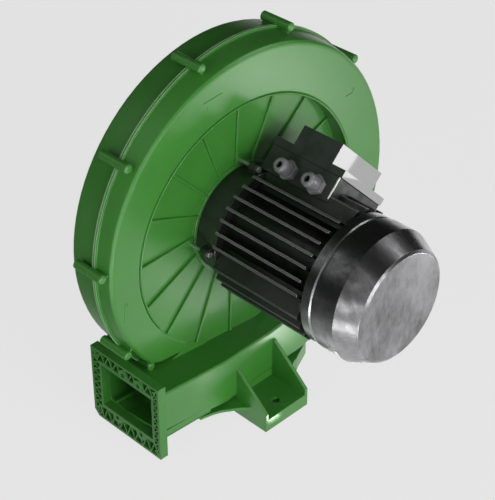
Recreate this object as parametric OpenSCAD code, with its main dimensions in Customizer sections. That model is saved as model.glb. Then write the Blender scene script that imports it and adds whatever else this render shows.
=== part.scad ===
// Centrifugal blower: a two-part scroll casing, a backward-curved impeller and a flanged motor.
// Millimetres, +Z up. The shaft runs along Y with the motor towards -Y, and the duct opens to -X.
// The origin is on the ground, midway between the two foot bolts.

/* [Casing] */
// Height of the shaft above the ground
shaft_h = 278; // [276:1:300]
// Radius of the round part of the casing at its joint
casing_r = 250; // [246:1:256]
// How far the casing's round part sits to the right of and above the shaft
casing_shift = 10; // [8:1:12]
// Thickness of the cast walls
wall_t = 4; // [3:0.5:5]
// Depth of the rear half behind the joint
rear_depth = 52; // [50:1:60]
// How far the joint flange stands out of the wall
lip_w = 2.5; // [2:0.5:4]
// Thickness of each half's joint flange
lip_t = 2.5; // [2:0.5:4]
// Depth of the front face on the left, where the scroll begins
ring_start = 25; // [25:1:28]
// Depth that the front face gains over each half turn
ring_gain = 25; // [20:1:27]
// Depth of the discharge duct in front of the joint
duct_front = 72; // [70:1:78]
// Depth of the discharge duct behind the joint, at its mouth
duct_rear = 36; // [32:1:40]

/* [Motor recess] */
// Radius of the recess round the motor
recess_r = 184; // [180:1:186]
// Depth of the recess floor at its rim
floor_rim = 22; // [20:0.5:22]
// Depth of the recess floor at its hub
floor_hub = 12.5; // [12:0.5:14]
// Radius of the collar round the motor flange
collar_r = 82; // [81:0.5:84]
// Number of radial ribs
rib_count = 17; // [12:1:20]
// Thickness of a rib
rib_t = 2.2; // [1.6:0.2:3]
// Height of a rib above the floor
rib_h = 2.4; // [1.6:0.2:3.4]

/* [Clamp bosses] */
// Radius of a boss
boss_r = 6.5; // [6.5:0.5:7.5]
// Length of a boss in front of the joint
boss_front = 21; // [18:1:22]
// Length of a boss behind the joint
boss_back = 27; // [24:1:30]
// Angle between neighbouring bosses
boss_pitch = 34.6; // [34:0.2:36]
// Radius of a clamp screw
clamp_screw_r = 3; // [2.5:0.5:3.5]

/* [Discharge] */
// How far the face of the discharge flange lies inside the casing's left side
mouth_inset = 26; // [18:1:30]
// Thickness of the discharge flange
flange_t = 13; // [11:1:15]
// Overhang of the flange in front of and below the duct
flange_lap = 10.5; // [9:0.5:12]
// Overhang of the flange behind and above the duct
flange_lap_back = 16; // [14:0.5:18]
// Thickness of the ribs in the flange's cored face
flange_rib = 1.8; // [1.4:0.2:2.4]
// Depth of the cores in the flange's face
flange_core = 9; // [6:0.5:9]
// Radius of a bolt hole in the flange
flange_hole_r = 3.2; // [2.5:0.1:4]

/* [Feet] */
// Width of a foot along X
foot_w = 83; // [76:1:90]
// Reach of a foot in front of or behind the casing
foot_reach = 56; // [52:1:64]
// Height of a foot's rim
foot_rim = 20; // [18:1:22]
// Thickness of a foot's walls and gussets
foot_t = 5; // [4:0.5:6]
// Radius of a foot's bolt hole
foot_hole_r = 5.5; // [4.5:0.5:6.5]
// Distance from a foot's rim to its bolt
bolt_inset = 22; // [18:1:26]
// Depth below the shaft where the gussets meet the casing
gusset_drop = 195; // [185:1:205]

/* [Inlet] */
// Inside radius of the inlet spigot
inlet_r = 90; // [89:0.5:93]
// Wall of the inlet spigot
inlet_t = 3; // [2.5:0.5:4]
// Length of the inlet spigot
inlet_len = 30; // [26:1:40]
// Radius of the inlet nozzle's throat
nozzle_r = 82; // [80:0.5:83]
// Radius of the guard's wires
wire_r = 1.5; // [1.4:0.1:2]

/* [Impeller] */
// Outside radius of the impeller
wheel_r = 172; // [168:0.5:173]
// Number of blades
blade_count = 12; // [8:1:14]
// Width of the blades at the rim
blade_w = 24; // [20:1:27]
// Width of the blades at the eye
eye_w = 36; // [34:0.5:38]
// Radius of the eye
eye_r = 88; // [86:0.5:89]
// Thickness of the impeller's sheet
sheet_t = 2; // [1.5:0.5:2.5]
// Radius of the impeller hub
hub_r = 26; // [24:1:30]

/* [Motor] */
// Radius of the shaft at the impeller hub
shaft_r = 12; // [11:0.5:12]
// Radius of the motor's front flange
motor_flange_r = 77; // [75:0.5:78]
// Radius of the drive-end shield where it meets the frame
shield_r = 85; // [82:0.5:86]
// Radius of the stator frame without fins
frame_r = 70; // [69:0.5:72]
// Radius of the bore of the stator frame
frame_bore = 62; // [60:0.5:62]
// Radius round the tips of the fins
fin_r = 93; // [90:0.5:94]
// Distance between neighbouring fins
fin_pitch = 17.4; // [16:0.2:18]
// Thickness of a fin
fin_t = 3.4; // [2.6:0.2:4]
// Depth of the shield, where the frame begins
frame_start = 58; // [56:1:62]
// Length of the stator frame
frame_len = 152; // [148:1:170]
// Radius of the fan cowl's rim
cowl_rim_r = 91; // [90:0.5:95]
// Radius of the fan cowl
cowl_r = 92; // [92:0.5:96]
// Length of the fan cowl
cowl_len = 85; // [84:1:96]
// Radius of the flat end of the cowl
cowl_end_r = 73.5; // [70:0.5:76]
// Thickness of the cowl's sheet
cowl_t = 1.6; // [1.2:0.2:2]

/* [Terminal box] */
// Width of the terminal box across the motor
box_w = 112; // [100:1:114]
// Length of the terminal box along the motor
box_len = 116; // [110:1:120]
// Distance from the shaft to the rim of the box
box_top = 103; // [100:1:108]
// Distance from the shaft to the top of the lid
lid_top = 143; // [138:1:148]
// Length of the raised part of the lid
lid_raise_len = 67; // [60:1:72]
// Distance across the flats of a cable gland
gland_af = 24; // [22:1:26]
// Radius of a gland's cable bore
gland_bore_r = 4.5; // [4:0.5:5.5]

/* [Clearances] */
// Radial clearance of a running fit
run_gap = 0.05; // [0.03:0.01:0.1]
// Gap between neighbouring pieces that are not fits
part_gap = 0.3; // [0.2:0.05:0.4]
// Radial clearance of a screw in its hole
screw_gap = 0.2; // [0.1:0.05:0.3]

/* [Hidden] */

round_fn = 96;
small_fn = 32;
hair = 0.02;

// Feet and the shaft's place over the origin
foot_mid_x = -18.5;
foot_x0 = foot_mid_x - foot_w / 2;
foot_x1 = foot_mid_x + foot_w / 2;
foot_bolt_front = duct_front + foot_reach - bolt_inset;
foot_bolt_rear = rear_depth + foot_reach - bolt_inset;
gusset_tip = 9.5;
pad_end = 105;
web_len = 70;
web_t = 4.5;
axis_x = -foot_mid_x;
axis_y = (foot_bolt_front - foot_bolt_rear) / 2;

// Outline of the scroll: a round part, a heel and a flat bottom that rises to the mouth
heel_x = 70;
heel_z = -96;
duct_low = shaft_h - foot_rim - 2;
heel_r = duct_low + heel_z;
wall_r = casing_r - lip_w;
duct_rise = 24;
duct_bend = 83;
duct_top = 178;
duct_slope = 0.09;
mouth_x = casing_r - casing_shift - mouth_inset;
duct_end = mouth_x - flange_t;
tongue_x = 78;
tongue_clear = 1.5;
sweep_start = -54;
sweep_step = 4;

// Hub of the front casing and the screws of the casing
hub_hole_r = 30;
hub_wall = 6;
collar_in = motor_flange_r + part_gap;
collar_h = 3.2;
rib_first = 3;
clamp_head_r = boss_r - 1.7;
clamp_head_h = 5;

// Motor lugs and screws
lug_at = 90;
lug_r = 5.5;
lug_start = 38;
lug_end = 50;
motor_boss_h = 5;
motor_screw_r = 2.5;
motor_head_r = 4.3;
tie_r = 2.5;

// Rows of the motor, measured towards the motor from the joint
frame_end = frame_start + frame_len;
cowl_start = frame_end + 5;
cowl_end = cowl_start + cowl_len;
cowl_cone = cowl_end - 31.5;
core_start = frame_start + 27;
core_end = frame_end - 35;
fan_start = frame_end + 24;
clip_at = fan_start + 24;
fan_bore = 10;
fan_r = cowl_rim_r - 9;
rotor_bore = 16;
rotor_r = 38;

// Bearings
race_r = 26;
bearing_bore = 12.5;
bearing_w = 15;
ball_r = 3.6;
ball_at = (race_r + bearing_bore) / 2;
drive_bearing_at = 23;
drive_bearing_end = drive_bearing_at + bearing_w + 2;
rear_bearing_at = frame_end - 4;

// Impeller and inlet rows, measured towards the inlet from the joint
plate_at = -3;
blade_at = plate_at + sheet_t;
blade_curve_x = 90;
blade_curve_r = 100;
hub_y0 = plate_at - 2;
hub_y1 = 20;
hub_bolt_r = 4;
key_w = 8;
key_low = shaft_r - 4;
key_top = shaft_r + 3;
back_y = rear_depth + 0.6;
inlet_hole_r = inlet_r + 3;
inlet_flange_r = inlet_r + 26;
inlet_screw_at = inlet_r + 16;
inlet_screw_r = 2;
inlet_end = back_y + inlet_len;
nozzle_y = rear_depth - 14;
guard_y = back_y + 12;
guard_seat_r = inlet_r - 5;

// Terminal box rows, measured away from the shaft
box_near = 47;
box_mid = box_near + box_len / 2;
box_under = 68;
box_floor = 72;
box_t = 3;
box_screw_r = 2.5;
pad_w = 30;
gasket_t = 1;
lid_low = box_top + gasket_t;
lid_edge_t = 10.5;
lid_raise_at = box_near + 28;
gland_rows = [90, 138];
gland_z = 81;
gland_thread_r = 8;
gland_nut_r = 10.5;
gland_len = 28;

CAST = [0.27, 0.52, 0.22];
DARK = [0.12, 0.13, 0.12];
STEEL = [0.7, 0.7, 0.72];
ALLOY = [0.6, 0.62, 0.62];

// Helpers

// Puts the shaft's line at its place over the ground
module on_shaft() translate([axis_x, axis_y, shaft_h]) children();

// Revolves a profile of (radius, y) points about the shaft, with y towards the inlet
module spin() rotate([-90, 0, 0]) rotate_extrude($fn = round_fn) children();

// Revolves a profile of (radius, depth) points about the shaft, with the depth towards the motor
module turned() rotate([90, 0, 0]) rotate_extrude($fn = round_fn) children();

// Cylinder along Y between two rows
module rod(r, y0, y1, fn = round_fn)
    translate([0, y0, 0]) rotate([-90, 0, 0]) cylinder(r = r, h = y1 - y0, $fn = fn);

// Tube along Y
module tube(r_out, r_in, y0, y1) difference() {
    rod(r_out, y0, y1);
    rod(r_in, y0 - 1, y1 + 1);
}

// Extrudes a drawing in the X-Z plane between two rows
module slab(y0, y1) translate([0, y1, 0]) rotate([90, 0, 0]) linear_extrude(y1 - y0) children();

// Box from corner to corner
module block(a, b) translate(a) cube(b - a);

// Repeats round the shaft
module around(count, first = 0) for (i = [0:count - 1]) rotate([0, first + i * 360 / count, 0]) children();

// Distance from the shaft to a circle's outline along a direction
function ray_circle(d, c, r) = c * d + sqrt(r * r - c * c + pow(c * d, 2));

// The scroll's outline is a round part, a straight flank, a heel and a flat bottom
function dir(a) = [-cos(a), sin(a)];
heel_gap = [heel_x - casing_shift, heel_z - casing_shift];
flank_turn = acos((wall_r - heel_r) / norm(heel_gap));
flank_a = atan2(heel_gap[1], heel_gap[0]) + flank_turn;
flank_n = [cos(flank_a), sin(flank_a)];
flank_d = [casing_shift, casing_shift] * flank_n + wall_r;
flank_from = [casing_shift, casing_shift] + wall_r * flank_n;
flank_to = [heel_x, heel_z] + heel_r * flank_n;
a_flank = 180 - atan2(flank_from[1], flank_from[0]);
a_heel = 180 - atan2(flank_to[1], flank_to[0]);
a_flat = 180 + atan2(duct_low, heel_x);
function rim(a) =
    a < -40 ? min(ray_circle(dir(a), [casing_shift, casing_shift], wall_r),
        (duct_top - tongue_clear) / (sin(-a) + duct_slope * cos(a))) :
    a < a_flank ? ray_circle(dir(a), [casing_shift, casing_shift], wall_r) :
    a < a_heel ? flank_d / (dir(a) * flank_n) :
    a < a_flat ? ray_circle(dir(a), [heel_x, heel_z], heel_r) : duct_low / sin(a - 180);

// The duct's floor and roof below the shaft, at a distance x to the left
function duct_bottom(x) = duct_low - duct_rise * max(0, x - duct_bend) / (mouth_x - duct_bend);
function duct_roof(x) = duct_top - duct_slope * x;

// Depth of the front face round the scroll and along the duct
function ring_depth(a) = a < 200 ? ring_start + max(-1, ring_gain * a / 180) :
    lerp(ring_start + ring_gain * 200 / 180, duct_front - 8, (a - 200) / 70);
function duct_depth(x) = duct_front - 8 * max(0, 1 - x / 80);
function rear_deep(x) = rear_depth - (rear_depth - duct_rear) * max(0, x - 100) / (duct_end - 100);
function recess_edge(a) = recess_r - (recess_r - duct_top) * max(0, (a - 250) / 20);
function lerp(a, b, t) = a + (b - a) * t;

// Stations of the sweep: [origin x, direction x, direction z, inner edge, outer edge, front, rear, rear's inner edge]
turn_steps = [for (a = [sweep_start:sweep_step:270]) a];
duct_steps = [12, 25, 40, 60, 80, 95, 115, 135, 155, 178, duct_end];
stations = concat(
    [for (a = turn_steps)
        [0, dir(a)[0], dir(a)[1], recess_edge(a), rim(a), ring_depth(a), rear_depth, recess_edge(a) - wall_t]],
    [for (x = duct_steps)
        [-x, 0, -1, duct_roof(x), duct_bottom(x), duct_depth(x), rear_deep(x), duct_roof(x)]]);

// Section of the front half, from the recess wall over the front face to the joint
function front_skin(s) = let (a = s[3], b = s[4], f = s[5], e = b - f / 10) [
    [a, -(floor_rim - wall_t)], [a + 0.8, -(f - 1.6)], [a + 3.5, -f], [e - 8, -f], [e - 4, -(f - 0.9)],
    [e - 1.2, -(f - 3.6)], [e, -(f - 8)], [b, 0]];
function front_lining(s) = let (a = s[3], b = s[4], f = s[5], e = b - f / 10, t = wall_t) [
    [a + t, -(floor_rim - t)], [a + t + 0.4, -(f - t - 1)], [a + t + 1.5, -(f - t)], [e - 10.5, -(f - t)],
    [e - t - 4, -(f - t - 0.6)], [e - t - 1.2, -(f - t - 2.6)], [e - t, -(f - t - 5)], [b - t, 0]];

// Section of the rear half, from the joint over the edge to the rear face
function rear_skin(s) = let (a = s[7], b = s[4], g = s[6], e = b - g / 12) [
    [b, 0], [e, g - 7], [e - 2, g - 2.5], [e - 6, g], [a, g]];
function rear_lining(s) = let (a = s[7], b = s[4], g = s[6], e = b - g / 12, t = wall_t) [
    [b - t, 0], [e - t, g - 8], [e - t - 0.8, g - t - 1.6], [e - t - 3.4, g - t], [a, g - t]];

// Sweeps the wall between a skin and a lining along the stations
module sweep(linings, skins) {
    n = len(skins[0]);
    last = len(skins) - 1;
    points = [for (k = [0:last]) for (p = concat(linings[k], skins[k]))
        [stations[k][0] + p[0] * stations[k][1], p[1], p[0] * stations[k][2]]];
    loop = concat([for (j = [0:n - 1]) j], [for (j = [n - 1:-1:0]) n + j]);
    sides = [for (k = [0:last - 1]) for (j = [0:2 * n - 1])
        let (p = loop[j], q = loop[(j + 1) % (2 * n)], u = k * 2 * n, v = u + 2 * n)
        each [[u + p, v + q, u + q], [u + p, v + p, v + q]]];
    caps = [for (j = [0:n - 2]) each [
        [j, j + 1, n + j + 1], [j, n + j + 1, n + j],
        [last * 2 * n + j, last * 2 * n + n + j + 1, last * 2 * n + j + 1],
        [last * 2 * n + j, last * 2 * n + n + j, last * 2 * n + n + j + 1]]];
    polyhedron(points = points, faces = concat(sides, caps));
}

// Casing

// Outline of the casing at its joint, grown by g
module outline(g) {
    translate([casing_shift, casing_shift]) circle(r = wall_r + g, $fn = round_fn * 2);
    translate([heel_x, heel_z]) circle(r = heel_r + g, $fn = round_fn * 2);
    polygon([flank_from + g * flank_n, flank_to + g * flank_n, [heel_x, heel_z], [casing_shift, casing_shift]]);
    polygon([[heel_x, -duct_low - g], [-duct_bend, -duct_low - g], [-duct_end, -duct_bottom(duct_end) - g],
        [-duct_end, -duct_roof(duct_end)], [-tongue_x, -duct_roof(tongue_x)], [0, heel_z], [heel_x, heel_z]]);
}

// Joint flange of one half, between two rows
module lip(y0, y1) slab(y0, y1) difference() {
    outline(lip_w);
    outline(-wall_t / 2);
}

// The duct's roof, from the tongue to the mouth
module duct_roof_wall(y0, y1) slab(y0, y1) polygon([[-tongue_x, -duct_roof(tongue_x)],
    [-duct_end, -duct_roof(duct_end)], [-duct_end, -duct_roof(duct_end) - wall_t],
    [-tongue_x, -duct_roof(tongue_x) - wall_t]]);

// The tongue where the scroll begins, a wedge between the recess and the duct's roof
module tongue(y0, y1) slab(y0, y1) difference() {
    polygon([dir(sweep_start - 1) * recess_r * 0.9, dir(sweep_start + 1) * rim(sweep_start),
        [-duct_end * 0.7, -duct_roof(duct_end * 0.7) - 1], [-tongue_x, -duct_roof(tongue_x) - wall_t],
        [-tongue_x + 8, -duct_roof(tongue_x) - wall_t / 2]]);
    circle(r = recess_r, $fn = round_fn);
}

// Everything below the duct's roof, to trim the recess
module under_roof(y0, y1) slab(y0, y1) polygon([[40, -duct_roof(-40) - 1], [-mouth_x, -duct_roof(mouth_x) - 1],
    [-mouth_x, -shaft_h], [40, -shaft_h]]);

// Angles of the clamp bosses round the scroll, and the boss on the duct's roof
boss_angles = [for (i = [0:7]) -29 + i * boss_pitch];
duct_boss = [-172, -duct_roof(172) + boss_r - 1];
low_boss = [-150, -duct_bottom(150) - boss_r + 1];
boss_circle = casing_r + boss_r - lip_w;
function boss_at(a) = dir(a) * (a < a_flank ? ray_circle(dir(a), [casing_shift, casing_shift], boss_circle) :
    rim(a) + boss_r);
boss_places = concat([for (a = boss_angles) boss_at(a)], [duct_boss, low_boss]);

// Places children at each boss
module at_bosses() for (p = boss_places) translate([p[0], 0, p[1]]) children();

// A boss and its web to the wall, between two rows
module boss(p, y0, y1) {
    translate([p[0], 0, p[1]]) rod(boss_r, y0, y1, small_fn);
    turn = p == duct_boss ? 180 : p == low_boss ? 0 : atan2(p[0], p[1]) + 180;
    translate([p[0], 0, p[1]]) rotate([0, turn, 0])
        block([-1.6, y0 + (y0 < 0 ? 1 : 0), 0], [1.6, y1 - (y0 < 0 ? 0 : 1), 15]);
}

// Web outline of a foot's gusset, seen from the side, with its top on the casing's wall
module gusset(x, y_in, y_wall, y_tip, drop) translate([x, 0, 0]) rotate([90, 0, 90]) linear_extrude(foot_t)
    polygon([[y_in, -shaft_h], [y_tip, -shaft_h], [y_tip, -shaft_h + foot_rim + gusset_tip],
        [y_wall, -drop], [y_in, -drop]]);

// A foot: bolt plate, rim and two gussets; y_in is inside the casing wall and y_out is the rim
module foot(y_in, y_wall, y_out, bolt_y) difference() {
    union() {
        rim_in = y_out - sign(y_out) * foot_t;
        block([foot_x0, min(y_in, y_out), -shaft_h + foot_rim - foot_t],
            [foot_x1, max(y_in, y_out), -shaft_h + foot_rim]);
        block([foot_x0, min(rim_in, y_out), -shaft_h], [foot_x1, max(rim_in, y_out), -shaft_h + foot_rim]);
        block([foot_x0, min(y_in, y_in + sign(y_out) * foot_t), -shaft_h],
            [foot_x1, max(y_in, y_in + sign(y_out) * foot_t), -duct_low + 9]);
        gusset(foot_x0, y_in, y_wall, y_out, gusset_drop);
        gusset(foot_x1 - foot_t, y_in, y_wall, y_out, gusset_drop);
        translate([foot_mid_x, bolt_y, -shaft_h]) cylinder(r = foot_hole_r * 2, h = foot_rim - 1, $fn = small_fn);
    }
    translate([foot_mid_x, bolt_y, -shaft_h - 1]) cylinder(r = foot_hole_r, h = foot_rim + 2, $fn = round_fn);
}

// Drawing of the pad under the heel, seen from above, shrunk by g
module pad_shape(y_side, y_far, y_back, g) {
    s = sign(y_far);
    difference() {
        polygon([[foot_x1 - foot_t, y_back], [foot_x1 - foot_t, y_far - s * g], [foot_x1 + 2, y_far - s * g],
            [heel_x, y_side - s * g], [pad_end - g, y_side * 0.75 - s * g], [pad_end - g, y_back]]);
        translate([heel_x, y_far]) circle(r = abs(y_far - y_side) - 2 + g, $fn = round_fn);
    }
}

// Pad under the heel, hollow from below
module heel_pad(y_side, y_far, y_back) difference() {
    translate([0, 0, -shaft_h]) linear_extrude(foot_rim + 3) pad_shape(y_side, y_far, y_back, 0);
    translate([0, 0, -shaft_h - 1]) linear_extrude(foot_rim - 3) intersection() {
        pad_shape(y_side, y_far, y_back, foot_t);
        translate([foot_x1, -200]) square(400);
    }
}

// Curved web between the duct's underside and the foot's left gusset
module duct_web(y_wall, y_far) intersection() {
    translate([0, 0, -shaft_h]) linear_extrude(shaft_h) polygon(concat(
        [for (i = [0:8]) [foot_x0 - web_len * (1 - i / 8), y_wall + (y_far - y_wall) * pow(i / 8, 3)]],
        [[foot_x0 + foot_t, y_far], [foot_x0 + foot_t, y_wall / 2], [foot_x0 - web_len, y_wall / 2]]));
    slab(-200, 200) polygon(concat(
        [for (x = [foot_x0 + foot_t, -duct_bend, foot_x0 - web_len]) [x, -duct_bottom(-x) + web_t]],
        [for (x = [foot_x0 - web_len, -duct_bend, foot_x0 + foot_t]) [x, -duct_bottom(-x) + 0.4]]));
}

// One rib of the recess as a thin plate that follows the cone of the floor
module recess_rib() rotate([0, 0, 180]) translate([0, 0, -rib_t / 2]) linear_extrude(rib_t)
    polygon([[collar_r - 2, floor_hub - 1.5], [collar_r - 1, floor_hub + rib_h + 0.6],
        [recess_r + 1, floor_rim + rib_h], [recess_r + 1, floor_rim - 1.5]]);

// Floor of the recess with its collar and ribs
module recess_floor() {
    turned() polygon([[hub_hole_r, floor_hub], [collar_in, floor_hub], [collar_in, floor_hub + collar_h],
        [collar_r - 0.6, floor_hub + collar_h], [collar_r, floor_hub + collar_h - 0.8],
        [collar_r, floor_hub], [recess_r + 1, floor_rim], [recess_r + 1, floor_rim - wall_t],
        [collar_r, floor_hub - hub_wall], [hub_hole_r, floor_hub - hub_wall]]);
    around(rib_count, rib_first) recess_rib();
}

module front_casing() color(CAST) on_shaft() difference() {
    union() {
        sweep([for (s = stations) front_lining(s)], [for (s = stations) front_skin(s)]);
        difference() {
            recess_floor();
            under_roof(-floor_rim - 5, 0);
        }
        at_lugs() rod(lug_r, -floor_hub - motor_boss_h, -floor_hub + 1, small_fn);
        lip(-lip_t, 0);
        duct_roof_wall(-floor_rim + 1, 0);
        tongue(-ring_start + 2, 0);
        for (p = boss_places) boss(p, -boss_front, 0);
        foot(-duct_front + 14, -duct_front + 6, -duct_front - foot_reach, -foot_bolt_front);
        heel_pad(-duct_front + 8, -duct_front - 24, -lip_t);
        duct_web(-duct_front, -duct_front - 26);
    }
    at_bosses() rod(clamp_screw_r + screw_gap, -boss_front + 5, 1, small_fn);
    at_lugs() rod(motor_screw_r + screw_gap, -floor_hub - motor_boss_h - 1, 0, small_fn);
}

module rear_casing() color(CAST) on_shaft() difference() {
    union() {
        sweep([for (s = stations) rear_lining(s)], [for (s = stations) rear_skin(s)]);
        tube(recess_r + 2, inlet_hole_r, back_y - wall_t - 1, back_y);
        at_inlet_screws() rod(inlet_screw_r + 3, back_y - wall_t - 5, back_y - 1, small_fn);
        lip(0, lip_t);
        duct_roof_wall(0, duct_rear - wall_t + 1);
        tongue(0, rear_depth - wall_t + 1);
        for (p = boss_places) boss(p, 0, boss_back);
        foot(rear_depth - 12, rear_depth - 3, rear_depth + foot_reach, foot_bolt_rear);
        heel_pad(rear_depth - 8, rear_depth + 24, lip_t);
        duct_web(rear_depth - 2, rear_depth + 20);
    }
    at_bosses() rod(clamp_screw_r + screw_gap, -1, boss_back + 1, small_fn);
    at_bosses() rod(clamp_head_r + part_gap, boss_back - clamp_head_h - 1, boss_back + 1, small_fn);
    at_inlet_screws() rod(inlet_screw_r + screw_gap, back_y - wall_t - 6, back_y + 1, small_fn);
}

// Socket-head screws that clamp the halves, with their heads sunk in the rear bosses
module casing_screws() color(STEEL) on_shaft() at_bosses() difference() {
    union() {
        rod(clamp_screw_r, -boss_front + 6, boss_back - clamp_head_h - 1 + hair, small_fn);
        rod(clamp_head_r, boss_back - clamp_head_h - 1, boss_back - 1, small_fn);
    }
    translate([0, boss_back - 3.5, 0]) rotate([-90, 0, 0]) cylinder(r = 2.9, h = 3, $fn = 6);
}

// Discharge flange

flange_x0 = -mouth_x;
flange_x1 = -mouth_x + flange_t;
mouth_lo = -duct_bottom(duct_end) + wall_t;
mouth_hi = -duct_roof(duct_end) - wall_t + 3;
mouth_front = -duct_front + wall_t;
mouth_back = duct_rear - wall_t;
rim_front = -duct_front - flange_lap;
rim_back = duct_rear + flange_lap_back;
rim_lo = -duct_bottom(duct_end) - flange_lap - 13;
rim_hi = -duct_roof(duct_end) + flange_lap_back + 6;
rim_w = 3.6;
band = [rim_front + rim_w, rim_lo + rim_w, rim_back - rim_w, rim_hi - rim_w];
collar = [mouth_front - wall_t, mouth_lo - 6, mouth_back + wall_t, mouth_hi + 6];

// Rectangle in (y, z) from [y0, z0, y1, z1]
module frame_rect(f) translate([f[0], f[1]]) square([f[2] - f[0], f[3] - f[1]]);

// Straight rib between two points of a drawing
module strut(a, b) translate(a) rotate(atan2(b[1] - a[1], b[0] - a[0]))
    translate([-0.5, -flange_rib / 2]) square([norm(b - a) + 1, flange_rib]);

// Zigzag of ribs between two parallel edges
module zigzag(a0, a1, b0, b1, cells) for (i = [0:cells - 1]) {
    strut(lerp(a0, a1, i / cells), lerp(b0, b1, (i + 0.5) / cells));
    strut(lerp(b0, b1, (i + 0.5) / cells), lerp(a0, a1, (i + 1) / cells));
}

// Raises a drawing in (y, z) along X between two places
module plate_x(x0, x1) translate([x0, 0, 0]) rotate([90, 0, 90]) linear_extrude(x1 - x0) children();

module flange_ribs() {
    zigzag([band[0], band[3] + 1], [band[2], band[3] + 1], [band[0], collar[3] - 1], [band[2], collar[3] - 1], 8);
    zigzag([band[0], band[1] - 1], [band[2], band[1] - 1], [band[0], collar[1] + 1], [band[2], collar[1] + 1], 8);
    zigzag([band[0] - 1, band[1]], [band[0] - 1, band[3]], [collar[0] + 1, band[1]], [collar[0] + 1, band[3]], 10);
    zigzag([band[2] + 1, band[1]], [band[2] + 1, band[3]], [collar[2] - 1, band[1]], [collar[2] - 1, band[3]], 10);
}

flange_bolts = [[-12, collar[3] + 1], [-42, collar[3] + 1], [4, collar[1] - 1], [-44, collar[1] - 1]];

module discharge_flange() color(CAST) on_shaft() difference() {
    plate_x(flange_x0, flange_x1) difference() {
        frame_rect([rim_front, rim_lo, rim_back, rim_hi]);
        translate([rim_back, rim_lo]) rotate(45) square([12, 12], center = true);
    }
    plate_x(flange_x0 - 1, flange_x1 + 1) frame_rect([mouth_front, mouth_lo, mouth_back, mouth_hi]);
    plate_x(flange_x0 - 1, flange_x0 + flange_core) difference() {
        frame_rect(band);
        frame_rect(collar);
        flange_ribs();
        for (b = flange_bolts) translate(b) circle(r = 9, $fn = small_fn);
        translate([rim_back, rim_lo]) rotate(45) square([20, 20], center = true);
    }
    for (b = flange_bolts) translate([flange_x0 - 1, b[0], b[1]]) rotate([0, 90, 0])
        cylinder(r = flange_hole_r, h = flange_t + 2, $fn = small_fn);
}

// Inlet

module at_inlet_screws() around(6, 30) translate([inlet_screw_at, 0, 0]) children();

module inlet_ring() color(CAST) on_shaft() difference() {
    spin() polygon([[nozzle_r, nozzle_y], [nozzle_r + 2, nozzle_y], [inlet_r + 1, back_y - 2],
        [inlet_r + 1, back_y], [inlet_flange_r, back_y], [inlet_flange_r, back_y + 5],
        [inlet_r + inlet_t + 4, back_y + 5], [inlet_r + inlet_t, back_y + 9],
        [inlet_r + inlet_t, inlet_end], [inlet_r, inlet_end], [inlet_r, guard_y], [guard_seat_r, guard_y],
        [guard_seat_r, back_y]]);
    at_inlet_screws() rod(inlet_screw_r + screw_gap, back_y - 1, back_y + 6, small_fn);
    at_guard_screws() rod(1.3, guard_y - 8, guard_y + 1, small_fn);
}

module inlet_screws() color(STEEL) on_shaft() at_inlet_screws() {
    rod(inlet_screw_r, back_y - wall_t - 5, back_y + 5 + hair, small_fn);
    rod(inlet_screw_r * 1.8, back_y + 5, back_y + 8, 6);
}

module at_guard_screws() around(4, 45) translate([(guard_seat_r + inlet_r) / 2 - 0.2, 0, 0]) children();

// Wire guard: a flat outer ring, three rings of wire and eight spokes
module inlet_guard() color(STEEL) on_shaft() difference() {
    union() {
        tube(inlet_r - part_gap, guard_seat_r - 1, guard_y, guard_y + 2);
        for (r = [24, 44, 64]) translate([0, guard_y + 1, 0]) rotate([90, 0, 0]) rotate_extrude($fn = round_fn)
            translate([r, 0]) circle(r = wire_r, $fn = small_fn);
        around(8, 22.5) translate([22, guard_y + 1, 0]) rotate([0, 90, 0]) cylinder(r = wire_r - 0.2, h = 64, $fn = 16);
    }
    at_guard_screws() rod(1.3, guard_y - 1, guard_y + 3, small_fn);
}

module guard_screws() color(STEEL) on_shaft() at_guard_screws() {
    rod(1.2, guard_y - 6, guard_y + 2 + hair, small_fn);
    rod(2.1, guard_y + 2, guard_y + 3.6, small_fn);
}

// Impeller

module shaft_seal() color(DARK) on_shaft() turned() polygon([[hub_hole_r - hair, floor_hub - hub_wall],
    [hub_hole_r - hair, floor_hub], [hub_hole_r - 3, floor_hub], [hub_hole_r - 3, floor_hub - hub_wall + 2],
    [shaft_r + 4, floor_hub - hub_wall + 2], [shaft_r + 1, floor_hub - 1], [shaft_r + run_gap, floor_hub - 1],
    [shaft_r + run_gap, floor_hub - hub_wall + 1], [shaft_r + 3, floor_hub - hub_wall]]);

module impeller_hub() color(ALLOY) on_shaft() difference() {
    spin() polygon([[shaft_r + hair, hub_y0], [hub_r + 14, hub_y0], [hub_r + 14, plate_at], [hub_r, plate_at],
        [hub_r, plate_at + 6], [hub_r - 5, hub_y1], [shaft_r + hair, hub_y1]]);
    block([-key_w / 2 - hair, hub_y0 - 1, 0], [key_w / 2 + hair, hub_y1 + 1, key_top + hair]);
}

module impeller_backplate() color(ALLOY) on_shaft() tube(wheel_r, hub_r + hair, plate_at, blade_at);

// Space between the backplate and the shroud where the blades stand
module blade_space() spin() polygon([[eye_r + 1, blade_at], [wheel_r, blade_at], [wheel_r, blade_at + blade_w],
    [eye_r + 1, blade_at + eye_w]]);

module impeller_blades() color(ALLOY) on_shaft() intersection() {
    slab(blade_at, blade_at + eye_w) for (i = [0:blade_count - 1]) rotate(i * 360 / blade_count)
        intersection() {
            translate([blade_curve_x, 0]) difference() {
                circle(r = blade_curve_r + sheet_t / 2, $fn = round_fn);
                circle(r = blade_curve_r - sheet_t / 2, $fn = round_fn);
            }
            translate([0, -2 * wheel_r]) square(2 * wheel_r);
        }
    blade_space();
}

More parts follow.
